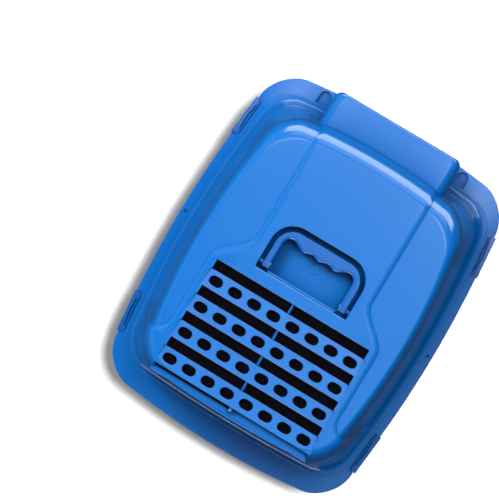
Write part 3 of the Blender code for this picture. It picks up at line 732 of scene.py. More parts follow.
def hollow(hood, wall):
    """Takes the inside out of the hood, the raised panel and the porch."""
    lip = FLANGE_TOP - LIP_DROP
    count = 96
    rings = [flange_ring(wall, lip - 0.004, count), flange_ring(wall, FLANGE_TOP - wall, count)]
    steps = 6
    for i in range(steps + 1):
        turn = math.pi / 2 * i / steps
        rise = FOOT_LEDGE_RISE + (SKIRT_RISE - FOOT_LEDGE_RISE) * (1 - math.cos(turn))
        rise -= wall * math.cos(turn)
        inset = SKIRT_INSET * math.sin(turn) + wall * math.sin(turn)
        rings.append(body_ring(min(rise, SKIRT_RISE), (inset,) * 3, 0.0004, count))
    void = drawn("void", rings + shoulder_rings(wall, 12, count))
    rings = [body_ring(SKIRT_RISE, (SKIRT_INSET,) * 3, wall - PANEL_STEP, count)]
    raised = drawn("void_raised", rings + shoulder_rings(wall - PANEL_STEP, 12, count))
    combine(raised, panel_prism("void_plan", wall, FLANGE_TOP + 0.021, PANEL_TOP + 0.02), "INTERSECT")
    combine(void, raised, "UNION")
    combine(void, porch("void_porch", wall), "UNION")
    combine(hood, void, "DIFFERENCE")


def make_hood(wall):
    hood = drawn("hood_shell", outer_rings())
    raise_panel(hood)
    combine(hood, porch("porch", 0), "UNION")
    hollow(hood, wall)
    half = GRILLE_HALF + RAIL
    deck = PANEL_TOP - BAR_DEPTH
    slab = block("deck", (-half, half, BLOCK_FRONT, GRILLE_REAR, deck, PANEL_TOP - wall / 2))
    combine(hood, slab, "UNION")
    inner = GRILLE_HALF + SIDE_GAP
    rails = []
    for side in (1, -1):
        edges = sorted((side * inner, side * (half - 0.0002)))
        rails.append((*edges, BLOCK_FRONT + 0.0002, GRILLE_REAR - 0.0002, LEDGE_TOP - 0.006, PANEL_TOP - wall))
    combine(hood, block("rails", *rails), "UNION")
    cut_handle_recess(hood)
    rings = mouth(ledge_outline, LEDGE_TOP, PANEL_TOP, 0.0010)
    combine(hood, drawn("ledge_cut", rings), "DIFFERENCE")
    chamber = (-inner, inner, BLOCK_FRONT + 0.0010, GRILLE_REAR + 0.001, LEDGE_TOP, PAD_TOP + GAP - 0.0001)
    combine(hood, block("chamber", chamber), "DIFFERENCE")
    ledge = block("ledge", (-half, half, GRILLE_REAR - 0.003, LEDGE_REAR, LEDGE_TOP - wall, LEDGE_TOP))
    combine(hood, eased(ledge, 0.0009, 3), "UNION")
    combine(hood, across("rib", rib_profile(), -REAR_RIB_HALF, REAR_RIB_HALF), "UNION")
    cut_grille(hood)
    cut_door(hood)
    cut_flange(hood)
    return hood


def door_outline(grow):
    half = DOOR_HALF + grow
    radius = DOOR_RADIUS + grow
    top = DOOR_HEAD + grow
    low = DOOR_SILL - grow
    small = 0.003 + grow
    right = arc((half - small, low + small), small, -90, 0, 3)
    right += arc((half - radius, top - radius), radius, 0, 90, 8)
    return mirrored(right)


def cut_door(hood):
    """The door opening with a rounded edge, and the lugs that the flap hangs from."""
    lip = 0.0018
    steps = [(lip, -0.012), (lip, -0.00004)]
    for i in range(3, -1, -1):
        turn = math.pi / 2 * i / 4
        steps.append((lip * (1 - math.cos(turn)), lip - lip * math.sin(turn)))
    rings = []
    for grow, depth in steps:
        ring = []
        for x, rise in door_outline(grow):
            face = PORCH_FRONTS[0] + (PORCH_FRONTS[1] - PORCH_FRONTS[0]) * rise / PORCH_RISE
            ring.append(Vector((x, face + depth, FLANGE_TOP + rise)))
        rings.append(ring)
    rings.append([Vector((x, DOOR_BACK, FLANGE_TOP + rise)) for x, rise in door_outline(0)])
    y, z = FLAP_AXIS
    lugs = []
    for side in (1, -1):
        edges = sorted((side * (DOOR_HALF + 0.0002), side * (DOOR_HALF + 0.0042)))
        lugs.append((*edges, y - 0.0015, y + LUG_HALF, z - LUG_HALF, z + LUG_HALF))
    combine(hood, block("lugs", *lugs), "UNION")
    combine(hood, drawn("door", rings), "DIFFERENCE")
    bores = []
    for side in (1, -1):
        start = (side * (DOOR_HALF - 0.002), y, z)
        bores.append(rod("bore", 0.0021, start, (side * (DOOR_HALF + 0.005), y, z)))
        start = (side * (RECESS_HALF - 0.002), *HANDLE_AXIS)
        bores.append(rod("bore", HANDLE_PIN + 0.0003, start, (side * (RECESS_HALF + 0.0034), *HANDLE_AXIS)))
    combine(hood, joined("bores", bores), "DIFFERENCE")


def pocket_outline(side, grow):
    x = side * POCKET_X
    half = POCKET_HALF + grow
    outline = arc((x, POCKET_Y[0]), half, 180, 360, 16)
    return outline + [(x + half, POCKET_Y[1] + grow), (x - half, POCKET_Y[1] + grow)]


def clip_sites():
    """Each clip's name and its frame: +X points out of the flange, and the origin is on the hinge."""
    sites = {}
    for end, y in CLIP_YS.items():
        edge = FLANGE_HALF_WIDTH - FLANGE_BOWS[0] * (y / FLANGE_LENGTH) ** 2
        lean = math.atan(2 * FLANGE_BOWS[0] * y / FLANGE_LENGTH**2)
        for side, x, turn in (("right", edge, lean), ("left", -edge, math.pi - lean)):
            spot = Matrix.Translation((x, y, FLANGE_TOP - CLIP_PIN)) @ Matrix.Rotation(turn, 4, "Z")
            sites[f"clip_{end}_{side}"] = spot @ Matrix.Translation((-CLIP_INSET, 0, 0))
    return sites


def put(piece, matrix):
    """Moves a piece into a frame, and keeps its object at the origin."""
    pick(piece)
    piece.matrix_world = matrix
    bpy.ops.object.transform_apply(location=True, rotation=True, scale=True)
    return piece


def cut_flange(hood):
    """The pockets beside the porch, the small eyes and the clip notches with their ears."""
    top = FLANGE_TOP
    low = top - POCKET_DEPTH
    rises = (low - TUB_WALL, top - 0.0008)
    tubs = [
        drawn("tub", [level(pocket_outline(side, TUB_WALL), rise) for rise in rises])
        for side in (1, -1)
    ]
    combine(hood, joined("tubs", tubs), "UNION")
    cuts = []
    for side in (1, -1):
        cuts.append(drawn("pocket", mouth(lambda grow, s=side: pocket_outline(s, grow), low, top, 0.0006)))
        x, y, half = EYE
        edges = sorted((side * (x - half), side * (x + half)))
        cuts.append(block("eye", (*edges, y - half, y + half, top - 0.01, top + 0.01)))
    combine(hood, joined("small_cuts", cuts), "DIFFERENCE")
    notches, ears, bores = [], [], []
    for spot in clip_sites().values():
        notch = block("notch", (CLIP_INSET - NOTCH_DEPTH, 0.02, -NOTCH_HALF, NOTCH_HALF, -0.03, 0.01))
        notches.append(put(notch, spot))
        for end in (-1, 1):
            span = sorted((end * (NOTCH_HALF - EAR_LENGTH), end * (NOTCH_HALF + 0.0004)))
            ears.append(put(block("ear", (-0.0024, 0.0021, *span, -EAR_DROP, CLIP_PIN - 0.0001)), spot))
        reach = NOTCH_HALF - 0.0004
        bores.append(put(rod("bore", CLIP_PIN + 0.0003, (0, -reach, 0), (0, reach, 0), 16), spot))
    combine(hood, joined("notches", notches), "DIFFERENCE")
    combine(hood, joined("ears", ears), "UNION")
    combine(hood, joined("pin_bores", bores), "DIFFERENCE")


# ---------------------------------------------------------------- small pieces


def grip_edge(steps=9):
    """The right half of the grip's waved rear edge, eased from each crest to the next valley."""
    points = []
    for (x0, y0), (x1, y1) in zip(GRIP_EDGE, GRIP_EDGE[1:-1]):
        for i in range(steps):
            part = i / steps
            points.append((x0 + (x1 - x0) * part, y0 + (y1 - y0) * (1 - math.cos(math.pi * part)) / 2))
    (x0, y0), (x1, y1) = GRIP_EDGE[-2:]
    for i in range(steps + 1):
        turn = math.pi / 2 * i / steps
        points.append((x0 + (x1 - x0) * math.sin(turn), y0 + (y1 - y0) * (1 - math.cos(turn))))
    return points


def handle_outline():
    """Plan of the U-shaped handle, its grip waved for four fingers."""
    radius = HANDLE_RADIUS
    inner = HANDLE_HALF - HANDLE_LEG
    y = HANDLE_AXIS[0]
    right = [(inner, y), (HANDLE_HALF, y)]
    right += arc((HANDLE_HALF - radius, HANDLE_FRONT + radius), radius, 0, -90, 16)
    left = [(-px, py) for px, py in reversed(right)]
    edge = grip_edge()
    return right + left + [(-px, py) for px, py in reversed(edge)] + edge[1:]


def outline_moved(outline, amounts):
    """A closed outline moved inward, each point by its own amount."""
    points = [Vector(p) for p in outline]
    moved = []
    for i, point in enumerate(points):
        before = (point - points[i - 1]).normalized()
        after = (points[(i + 1) % len(points)] - point).normalized()
        left_before = Vector((-before.y, before.x))
        left_after = Vector((-after.y, after.x))
        moved.append(point - (left_before + left_after) * amounts[i] / (1 + left_before.dot(left_after)))
    return moved


def make_handle():
    """The carry handle: a U with a rounded top, a round boss at each foot and a pin in each boss."""
    outline = handle_outline()
    low = HANDLE_TOP - HANDLE_THICKNESS
    rings = []
    for i in range(4):
        turn = math.pi / 2 * i / 3
        rings.append((0.0014 * (1 - math.sin(turn)), low + 0.0014 * (1 - math.cos(turn))))
    crown = 0.0042
    for i in range(8):
        turn = math.pi / 2 * i / 7
        rings.append((crown * (1 - math.cos(turn)), HANDLE_TOP - crown * (1 - math.sin(turn))))
    inner = HANDLE_HALF - HANDLE_LEG + 0.0002
    shares = [
        1.0 if abs(px) < inner and py > HANDLE_FRONT + 0.008 else HANDLE_OUTER_CROWN
        for px, py in outline
    ]
    rings = [level(outline_moved(outline, [off * share for share in shares]), z) for off, z in rings]
    handle = drawn("carry_handle_grip", rings)
    y, z = HANDLE_AXIS
    boss = HANDLE_THICKNESS / 2 - 0.0001
    for side in (1, -1):
        inner = (side * (HANDLE_HALF - HANDLE_LEG), y, z)
        outer = (side * (HANDLE_HALF + 0.0001), y, z)
        combine(handle, eased(rod("boss", boss, inner, outer, 40), 0.0008), "UNION")
        reach = (side * (RECESS_HALF + 0.0021), y, z)
        combine(handle, rod("pin", HANDLE_PIN, (side * (HANDLE_HALF - 0.004), y, z), reach), "UNION")
    return handle


def make_clip(name):
    """One clip in its own frame: a rounded plate, a top strip with a waved inner edge, a toe and a pin."""
    outer = CLIP_INSET + CLIP_PROUD
    top = CLIP_PIN
    rings = []
    steps = 24
    for i in range(steps + 1):
        y = CLIP_HALF * (2 * i / steps - 1)
        squeeze = 0.0003 if i in (0, steps) else 0.0
        wave = 0.0061 - 0.0013 * math.exp(-((y / 0.012) ** 2))
        strip = outer - wave
        low = top - CLIP_DROP
        toe = outer - CLIP_THICKNESS - (0.0013 if abs(y) < CLIP_HALF - 0.003 else 0.0)
        profile = [
            (strip, top - CLIP_THICKNESS + 0.0001),
            (strip, top - 0.0005),
            (strip + 0.0004, top - 0.0001),
            (outer - 0.0016, top),
            (outer - 0.0005, top - 0.0003),
            (outer, top - 0.0012),
            (outer, low + 0.0008),
            (outer - 0.0006, low),
            (outer - CLIP_THICKNESS, low),
            (toe, low + 0.0006),
            (toe, low + 0.0016),
            (outer - CLIP_THICKNESS, low + 0.0028),
            (outer - CLIP_THICKNESS, top - CLIP_THICKNESS - 0.0006),
            (outer - CLIP_THICKNESS - 0.0006, top - CLIP_THICKNESS + 0.0001),
        ]
        middle = Vector((outer - CLIP_THICKNESS / 2, 0, (top + low) / 2))
        ring = []
        for x, z in profile:
            point = Vector((x, 0, z))
            point += (middle - point).normalized() * squeeze
            ring.append(Vector((point.x, y, point.z)))
        rings.append(ring)
    clip = drawn(name, rings)
    arm = NOTCH_HALF - EAR_LENGTH - 0.0036
    for side in (-1, 1):
        middle = side * arm
        knuckle = block("knuckle", (-0.0009, outer - 0.0057, middle - 0.003, middle + 0.003, -0.0009, 0.0009))
        combine(clip, knuckle, "UNION")
    reach = CLIP_HALF - 0.0003
    combine(clip, rod("pin", CLIP_PIN, (0, -reach, 0), (0, reach, 0), 16), "UNION")
    return clip


def make_pad(name, box, height):
    """A felt pad: a block cut up finely, its corners chamfered and its faces roughened."""
    low, high = box
    start_fresh()
    size = high - low
    bpy.ops.mesh.primitive_cube_add(size=1, location=(low + high) / 2, scale=size)
    bpy.ops.object.transform_apply(location=True, rotation=True, scale=True)
    pad = bpy.context.object
    pad.name = pad.data.name = name
    bpy.ops.object.mode_set(mode="EDIT")
    mesh = bmesh.from_edit_mesh(pad.data)
    for edge in mesh.edges:
        a, b = edge.verts
        edge.select_set(abs(a.co.z - b.co.z) > size.z / 2)
    bmesh.update_edit_mesh(pad.data)
    bpy.ops.mesh.bevel(offset=0.0032, segments=3, affect="EDGES")
    bpy.ops.mesh.select_all(action="SELECT")
    bpy.ops.mesh.bevel(offset=0.0007, segments=2, affect="EDGES")
    bpy.ops.mesh.select_all(action="SELECT")
    bpy.ops.mesh.quads_convert_to_tris()
    bpy.ops.object.mode_set(mode="OBJECT")
    pick(pad)
    remesh = pad.modifiers.new("even", "REMESH")
    remesh.mode = "VOXEL"
    remesh.voxel_size = 0.0011
    bpy.ops.object.modifier_apply(modifier=remesh.name)
    clouds = bpy.data.textures.new("felt_lumps", "CLOUDS")
    clouds.noise_scale = 0.0035
    clouds.noise_depth = 2
    lumps = pad.modifiers.new("lumps", "DISPLACE")
    lumps.texture = clouds
    lumps.texture_coords = "GLOBAL"
    lumps.strength = height
    lumps.mid_level = 0.75
    bpy.ops.object.modifier_apply(modifier=lumps.name)
    return pad


def make_rack():
    """An open rack of rounded bars under the pads."""
    low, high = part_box("filter_rack")
    rack = block("rack_frame", (low.x, high.x, low.y, high.y, low.z, high.z))
    windows = []
    bars = 7
    pitch = (high.y - low.y - 0.004) / bars
    for i in range(bars):
        start = low.y + 0.004 + i * pitch
        for side in (1, -1):
            edges = sorted((side * 0.003, side * (high.x - 0.004)))
            windows.append((*edges, start, start + pitch - 0.004, low.z - 0.001, high.z + 0.001))
    combine(rack, block("windows", *windows), "DIFFERENCE")
    return eased(rack, 0.0005, 2)


def make_flap():
    """The entrance flap: a clear plate with a thicker rim, and pins at its top corners."""
    half = DOOR_HALF - 0.0025
    low = FLANGE_TOP + DOOR_SILL + 0.0025
    top = FLAP_AXIS[1] + FLAP_THICKNESS / 2
    thick = FLAP_THICKNESS / 2

    def plan(off):
        radius = 0.0120 - off
        right = arc((half - 0.0120, low + 0.0120), radius, -90, 0, 8)
        small = max(0.0015 - off, 0.0003)
        right += arc((half - off - small, top - off - small), small, 0, 90, 3)
        return mirrored(right)

    rings = []
    for off, depth in ((0.0005, -thick), (0, -thick + 0.0005), (0, thick - 0.0005), (0.0005, thick)):
        rings.append([Vector((x, FLAP_AXIS[0] + depth, z)) for x, z in plan(off)])
    flap = drawn("flap_plate", rings)
    for face, depth in ((-1, -thick), (1, thick)):
        rings = []
        for off, sink in ((0.0050, -0.001), (0.0050, 0), (0.0056, 0.0006)):
            y = FLAP_AXIS[0] + depth - face * sink
            rings.append([Vector((x, y, min(z, top - 0.010))) for x, z in plan(off)])
        combine(flap, drawn("dish", rings), "DIFFERENCE")
    reach = DOOR_HALF + 0.0034
    y, z = FLAP_AXIS
    return combine(flap, rod("pin", 0.0018, (-reach, y, z), (reach, y, z)), "UNION")


def make_tray(wall):
    """The litter pan: a rounded foot, drafted walls, a flat rim and a low upstand inside the hood."""
    rim_top = FLANGE_TOP - wall - GAP
    rim_low = rim_top - TRAY_WALL
    outer = 0.0085
    inner = outer + TRAY_WALL
    none = (0, 0, 0)
    steps = 8

    def ring(off, z):
        return body_ring(z - FLANGE_TOP, none, off)

    rings = [ring(outer + TRAY_TAPER + TRAY_FOOT, 0)]
    for i in range(1, steps + 1):
        turn = math.pi / 2 * i / steps
        inset = outer + TRAY_TAPER + TRAY_FOOT * (1 - math.sin(turn))
        rings.append(ring(inset, TRAY_FOOT * (1 - math.cos(turn))))
    rings.append(ring(outer + 0.0006, rim_low - 0.0030))
    rings.append(ring(outer - 0.0006, rim_low - 0.0006))
    rings.append(ring(outer - 0.0016, rim_low))
    edge = wall + GAP
    for off, z in ((0.0006, rim_low), (0, rim_low + 0.0006), (0, rim_top - 0.0006), (0.0006, rim_top)):
        rings.append(flange_ring(edge + off, z))
    rings += [ring(outer - 0.0010, rim_top), ring(outer, rim_top + 0.0010)]
    top = rim_top + 0.0070
    for off, z in ((outer, top - 0.0008), (outer + 0.0005, top), (inner - 0.0005, top), (inner, top - 0.0008)):
        rings.append(ring(off, z))
    for i in range(steps, -1, -1):
        turn = math.pi / 2 * i / steps
        inset = inner + TRAY_TAPER + TRAY_FOOT * (1 - math.sin(turn))
        rings.append(ring(inset, TRAY_WALL + TRAY_FOOT * (1 - math.cos(turn))))
    tray = drawn("litter_pan", rings)
    pockets = []
    for spot in clip_sites().values():
        for end in (-1, 1):
            span = sorted((end * (NOTCH_HALF - EAR_LENGTH - 0.0008), end * (NOTCH_HALF + 0.0010)))
            pockets.append(put(block("pocket", (-0.0032, 0.0030, *span, -EAR_DROP - GAP, 0.004)), spot))
    combine(tray, joined("ear_pockets", pockets), "DIFFERENCE")
    grow = TUB_WALL + GAP
    cuts = [
        drawn("notch", [level(pocket_outline(side, grow), FLANGE_TOP + rise) for rise in (-0.02, 0)])
        for side in (1, -1)
    ]
    return combine(tray, joined("rim_notches", cuts), "DIFFERENCE")


# ---------------------------------------------------------------- finishes


def node(tree, kind, **values):
    """Adds a node, and sets its properties or, where the name is a socket's, its inputs."""
    made = tree.nodes.new(kind)
    for name, value in values.items():
        if name in made.bl_rna.properties:
            setattr(made, name, value)
        else:
            made.inputs[name.replace("_", " ")].default_value = value
    return made


def effect(name, inputs, outputs):
    """An empty shader node group with its sockets."""
    tree = bpy.data.node_groups.new(name, "ShaderNodeTree")
    for label, kind, value in inputs:
        socket = tree.interface.new_socket(name=label, in_out="INPUT", socket_type=kind)
        if value is not None:
            socket.default_value = value
    for label, kind in outputs:
        tree.interface.new_socket(name=label, in_out="OUTPUT", socket_type=kind)
    return tree, tree.nodes.new("NodeGroupInput"), tree.nodes.new("NodeGroupOutput")


def moulded_skin():
    """Effect: the faint orange peel and flow marks of moulded plastic, as a height and a mask."""
    if "moulded_skin" in bpy.data.node_groups:
        return bpy.data.node_groups["moulded_skin"]
    tree, given, out = effect(
        "moulded_skin",
        [("Vector", "NodeSocketVector", None), ("Peel", "NodeSocketFloat", 900.0), ("Flow", "NodeSocketFloat", 14.0)],
        [("Height", "NodeSocketFloat"), ("Mask", "NodeSocketFloat")],
    )
    link = tree.links.new
    peel = node(tree, "ShaderNodeTexNoise", Detail=3.0, Roughness=0.55)
    link(given.outputs["Vector"], peel.inputs["Vector"])
    link(given.outputs["Peel"], peel.inputs["Scale"])
    flow = node(tree, "ShaderNodeTexNoise", Detail=2.0, Roughness=0.5, Distortion=0.8)
    link(given.outputs["Vector"], flow.inputs["Vector"])
    link(given.outputs["Flow"], flow.inputs["Scale"])
    add = node(tree, "ShaderNodeMath", operation="MULTIPLY_ADD")
    add.inputs[1].default_value = 0.35
    link(peel.outputs["Fac"], add.inputs[0])
    link(flow.outputs["Fac"], add.inputs[2])
    link(add.outputs[0], out.inputs["Height"])
    link(flow.outputs["Fac"], out.inputs["Mask"])
    return tree


def handling_marks():
    """Effect: fine scuffs and settled dust, as two masks."""
    if "handling_marks" in bpy.data.node_groups:
        return bpy.data.node_groups["handling_marks"]
    tree, given, out = effect(
        "handling_marks",
        [("Vector", "NodeSocketVector", None), ("Scuff Scale", "NodeSocketFloat", 60.0)],
        [("Scuffs", "NodeSocketFloat"), ("Dust", "NodeSocketFloat")],
    )
    link = tree.links.new
    stretch = node(tree, "ShaderNodeMapping", Scale=(1.0, 6.0, 1.0))
    stretch.inputs["Rotation"].default_value = (0.0, 0.0, 0.6)
    link(given.outputs["Vector"], stretch.inputs["Vector"])
    scuff = node(tree, "ShaderNodeTexNoise", Detail=6.0, Roughness=0.75)
    link(stretch.outputs[0], scuff.inputs["Vector"])
    link(given.outputs["Scuff Scale"], scuff.inputs["Scale"])
    narrow = node(tree, "ShaderNodeValToRGB")
    narrow.color_ramp.elements[0].position = 0.60
    narrow.color_ramp.elements[1].position = 0.80
    link(scuff.outputs["Fac"], narrow.inputs[0])
    link(narrow.outputs[0], out.inputs["Scuffs"])
    dust = node(tree, "ShaderNodeTexNoise", Scale=420.0, Detail=2.0)
    link(given.outputs["Vector"], dust.inputs["Vector"])
    specks = node(tree, "ShaderNodeValToRGB")
    specks.color_ramp.elements[0].position = 0.66
    specks.color_ramp.elements[1].position = 0.78
    link(dust.outputs["Fac"], specks.inputs[0])
    link(specks.outputs[0], out.inputs["Dust"])
    return tree


def moulded(name, colour, deep, smooth, scuffed, skin, skin_depth):
    """A moulded plastic's start: colour that drifts, scuffed roughness and a fine skin."""
    material = bpy.data.materials.new(name)
    material.use_nodes = True
    tree = material.node_tree
    link = tree.links.new
    shader = tree.nodes["Principled BSDF"]
    shader.inputs["IOR"].default_value = PLASTIC_IOR
    place = node(tree, "ShaderNodeTexCoord")
    surface = node(tree, "ShaderNodeGroup")
    surface.node_tree = moulded_skin()
    marks = node(tree, "ShaderNodeGroup")
    marks.node_tree = handling_marks()
    for group in (surface, marks):
        link(place.outputs["Object"], group.inputs["Vector"])
    drift = node(tree, "ShaderNodeMix", data_type="RGBA")
    drift.inputs["A"].default_value = colour
    drift.inputs["B"].default_value = deep
    link(surface.outputs["Mask"], drift.inputs["Factor"])
    rough = node(tree, "ShaderNodeMapRange")
    rough.inputs["To Min"].default_value = smooth
    rough.inputs["To Max"].default_value = scuffed
    link(marks.outputs["Scuffs"], rough.inputs["Value"])
    link(rough.outputs[0], shader.inputs["Roughness"])
    bump = node(tree, "ShaderNodeBump", Strength=skin, Distance=skin_depth)
    link(surface.outputs["Height"], bump.inputs["Height"])
    link(bump.outputs[0], shader.inputs["Normal"])
    return material, shader, surface, marks, drift


def plastic(name, colour, deep, roughness, skin=0.02):
    """Glossy moulded plastic with dust, and painted shade in its hollows: darker colour and weaker reflection there.
    """
    rough = roughness + 0.10
    material, shader, surface, marks, drift = moulded(name, colour, deep, roughness, rough, skin, 0.0006)
    tree = material.node_tree
    link = tree.links.new
    surface.inputs["Peel"].default_value = 700.0
    surface.inputs["Flow"].default_value = 11.0
    marks.inputs["Scuff Scale"].default_value = 70.0
    dusty = node(tree, "ShaderNodeMix", data_type="RGBA")
    dusty.inputs["B"].default_value = (0.20, 0.42, 0.80, 1.0)
    fade = node(tree, "ShaderNodeMath", operation="MULTIPLY")
    fade.inputs[1].default_value = 0.05
    link(marks.outputs["Dust"], fade.inputs[0])
    link(fade.outputs[0], dusty.inputs["Factor"])
    link(drift.outputs["Result"], dusty.inputs["A"])
    # Painted shade: ambient occlusion darkens the colour in hollows, gaps and creases towards the deep colour times
    # CAVITY_SHADE.
    painted_shade = node(tree, "ShaderNodeAmbientOcclusion", samples=8)
    painted_shade.inputs["Distance"].default_value = CAVITY_REACH
    shaded = node(tree, "ShaderNodeMix", data_type="RGBA")
    shaded.inputs["A"].default_value = [c * CAVITY_SHADE for c in deep[:3]] + [1.0]
    link(painted_shade.outputs["AO"], shaded.inputs["Factor"])
    link(dusty.outputs["Result"], shaded.inputs["B"])
    link(shaded.outputs["Result"], shader.inputs["Base Color"])
    # Painted shade on the reflection: the specular level falls in the same hollows.
    shine = node(tree, "ShaderNodeMapRange")
    for socket, value in (("From Min", 0.50), ("From Max", 0.95), ("To Min", 0.04), ("To Max", 0.5)):
        shine.inputs[socket].default_value = value
    link(painted_shade.outputs["AO"], shine.inputs["Value"])
    link(shine.outputs[0], shader.inputs["Specular IOR Level"])
    return material


def felt(name, colour, fleck):
    """Black carbon felt: matted fibres, pale flecks and a soft nap."""
    material = bpy.data.materials.new(name)
    material.use_nodes = True
    tree = material.node_tree
    link = tree.links.new
    shader = tree.nodes["Principled BSDF"]
    shader.inputs["Roughness"].default_value = 0.96
    shader.inputs["Specular IOR Level"].default_value = 0.08
    place = node(tree, "ShaderNodeTexCoord")
    fibres = node(tree, "ShaderNodeTexNoise", Scale=900.0, Detail=5.0, Roughness=0.8, Distortion=1.6)
    wisps = node(tree, "ShaderNodeTexNoise", Scale=240.0, Detail=4.0, Roughness=0.7, Distortion=2.2)
    for texture in (fibres, wisps):
        link(place.outputs["Object"], texture.inputs["Vector"])
    ramp = node(tree, "ShaderNodeValToRGB")
    ramp.color_ramp.elements[0].position = 0.52
    ramp.color_ramp.elements[0].color = colour
    ramp.color_ramp.elements[1].position = 0.80
    ramp.color_ramp.elements[1].color = fleck
    link(fibres.outputs["Fac"], ramp.inputs[0])
    link(ramp.outputs[0], shader.inputs["Base Color"])
    height = node(tree, "ShaderNodeMath", operation="ADD")
    link(fibres.outputs["Fac"], height.inputs[0])
    link(wisps.outputs["Fac"], height.inputs[1])
    bump = node(tree, "ShaderNodeBump", Strength=0.9, Distance=0.0009)
    link(height.outputs[0], bump.inputs["Height"])
    link(bump.outputs[0], shader.inputs["Normal"])
    return material


def smoked(name, colour):
    """Smoked clear plastic for the flap."""
    deep = [c * 0.8 for c in colour[:3]] + [1.0]
    material, shader, _, _, drift = moulded(name, colour, deep, 0.10, 0.30, 0.05, 0.0005)
    shader.inputs["Transmission Weight"].default_value = 0.55
    material.node_tree.links.new(drift.outputs["Result"], shader.inputs["Base Color"])
    return material


# ---------------------------------------------------------------- settings


class LitterBoxSizes(bpy.types.PropertyGroup):
    wall: bpy.props.FloatProperty(
        name="Hood wall", description="Thickness of the hood's moulding", default=0.0024, unit="LENGTH"
    )
    lumps: bpy.props.FloatProperty(
        name="Felt lumps", description="Height of the lumps in the felt", default=0.00042, unit="LENGTH"
    )


class LitterBoxColours(bpy.types.PropertyGroup):
    hood: bpy.props.FloatVectorProperty(
        name="Hood", description="Colour of the hood",
        subtype="COLOR", size=4, default=(0.003, 0.156, 0.55, 1.0),
    )
    # Besides the random drift, this colour times CAVITY_SHADE is painted as shade in the hood's hollows.
    hood_deep: bpy.props.FloatVectorProperty(
        name="Hood, deeper", description="Where the hood's colour drifts darker",
        subtype="COLOR", size=4,
        default=(0.0026, 0.142, 0.515, 1.0),
    )
    trim: bpy.props.FloatVectorProperty(
        name="Handle and clips", description="Colour of the handle and the clips",
        subtype="COLOR", size=4,
        default=(0.004, 0.118, 0.47, 1.0),
    )
    felt: bpy.props.FloatVectorProperty(
        name="Felt", description="Colour of the filter pads",
        subtype="COLOR", size=4, default=(0.0015, 0.0015, 0.0025, 1.0),
    )
    felt_fleck: bpy.props.FloatVectorProperty(
        name="Felt flecks", description="Colour of the pale fibres", subtype="COLOR", size=4,
        default=(0.020, 0.016, 0.030, 1.0),
    )
    smoke: bpy.props.FloatVectorProperty(
        name="Flap", description="Colour of the entrance flap",
        subtype="COLOR", size=4, default=(0.10, 0.13, 0.17, 1.0),
    )


class LitterBoxStage(bpy.types.PropertyGroup):
    camera_height: bpy.props.FloatProperty(
        name="Camera height", description="Height of the camera above the floor",
        default=2.091, unit="LENGTH",
    )
    lens: bpy.props.FloatProperty(
        name="Lens", description="Focal length in millimetres", default=102.4, min=10.0, max=400.0
    )
    spin: bpy.props.FloatProperty(
        name="Turn", description="How far the object is turned in the picture",
        default=math.radians(31), subtype="ANGLE",
    )


def colour(name):
    return tuple(getattr(bpy.context.scene.litter_box_colours, name))


def finish_called(name):
    """The finish of that name, made the first time it is asked for."""
    if name in bpy.data.materials:
        return bpy.data.materials[name]
    if name == "black_felt":
        return felt(name, colour("felt"), colour("felt_fleck"))
    if name == "smoked_plastic":
        return smoked(name, colour("smoke"))
    if name == "blue_trim":
        trim = colour("trim")
        return plastic(name, trim, tuple(c * 0.92 for c in trim[:3]) + (1.0,), 0.18, 0.03)
    return plastic(name, colour("hood"), colour("hood_deep"), 0.14, 0.02)


# ---------------------------------------------------------------- operators


class LITTERBOX_OT_hood(bpy.types.Operator):
    """Model the hood"""

    bl_idname = "litterbox.hood"
    bl_label = "Hood"

    def execute(self, context):
        hood = make_hood(context.scene.litter_box_sizes.wall)
        finished(hood, finish_called("blue_hood"))
        kept(hood, "hood", "hood_blue", "hood")
        return {"FINISHED"}


class LITTERBOX_OT_handle(bpy.types.Operator):
    """Model the carry handle"""

    bl_idname = "litterbox.handle"
    bl_label = "Carry handle"

    def execute(self, context):
        kept(finished(make_handle(), finish_called("blue_trim")), "handle", "handle_blue", "carry_handle")
        return {"FINISHED"}


class LITTERBOX_OT_clips(bpy.types.Operator):
    """Model one clip and copy it to the four places"""

    bl_idname = "litterbox.clips"
    bl_label = "Clips"

    def execute(self, context):
        first = finished(make_clip("clip"), finish_called("blue_trim"))
        for name, spot in clip_sites().items():
            clip = first.copy()
            clip.data = first.data.copy()
            clip.name = f"{name}_piece"
            context.collection.objects.link(clip)
            kept(put(clip, spot), name, "clip_blue", name)
        bpy.data.objects.remove(first)
        return {"FINISHED"}


class LITTERBOX_OT_pads(bpy.types.Operator):
    """Model the two felt pads"""

    bl_idname = "litterbox.pads"
    bl_label = "Filter pads"

    def execute(self, context):
        height = context.scene.litter_box_sizes.lumps
        for side in ("right", "left"):
            node_name = f"filter_pad_{side}"
            low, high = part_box(node_name)
            pad = finished(make_pad(f"felt_pad_{side}", (low, high), height), finish_called("black_felt"), 60)
            kept(pad, f"pad_{side}", "filter_felt", node_name)
        return {"FINISHED"}


class LITTERBOX_OT_rack(bpy.types.Operator):
    """Model the rack under the pads"""

    bl_idname = "litterbox.rack"
    bl_label = "Filter rack"

    def execute(self, context):
        kept(finished(make_rack(), finish_called("blue_trim")), "hood", "rack_blue", "filter_rack")
        return {"FINISHED"}


class LITTERBOX_OT_flap(bpy.types.Operator):
    """Model the entrance flap"""

    bl_idname = "litterbox.flap"
    bl_label = "Entrance flap"

    def execute(self, context):
        kept(finished(make_flap(), finish_called("smoked_plastic")), "flap", "flap_smoke", "entrance_flap")
        return {"FINISHED"}


class LITTERBOX_OT_tray(bpy.types.Operator):
    """Model the litter pan"""

    bl_idname = "litterbox.tray"
    bl_label = "Tray"

    def execute(self, context):
        tray = make_tray(context.scene.litter_box_sizes.wall)
        kept(finished(tray, finish_called("blue_hood")), "tray", "tray_blue", "base_tray")
        return {"FINISHED"}


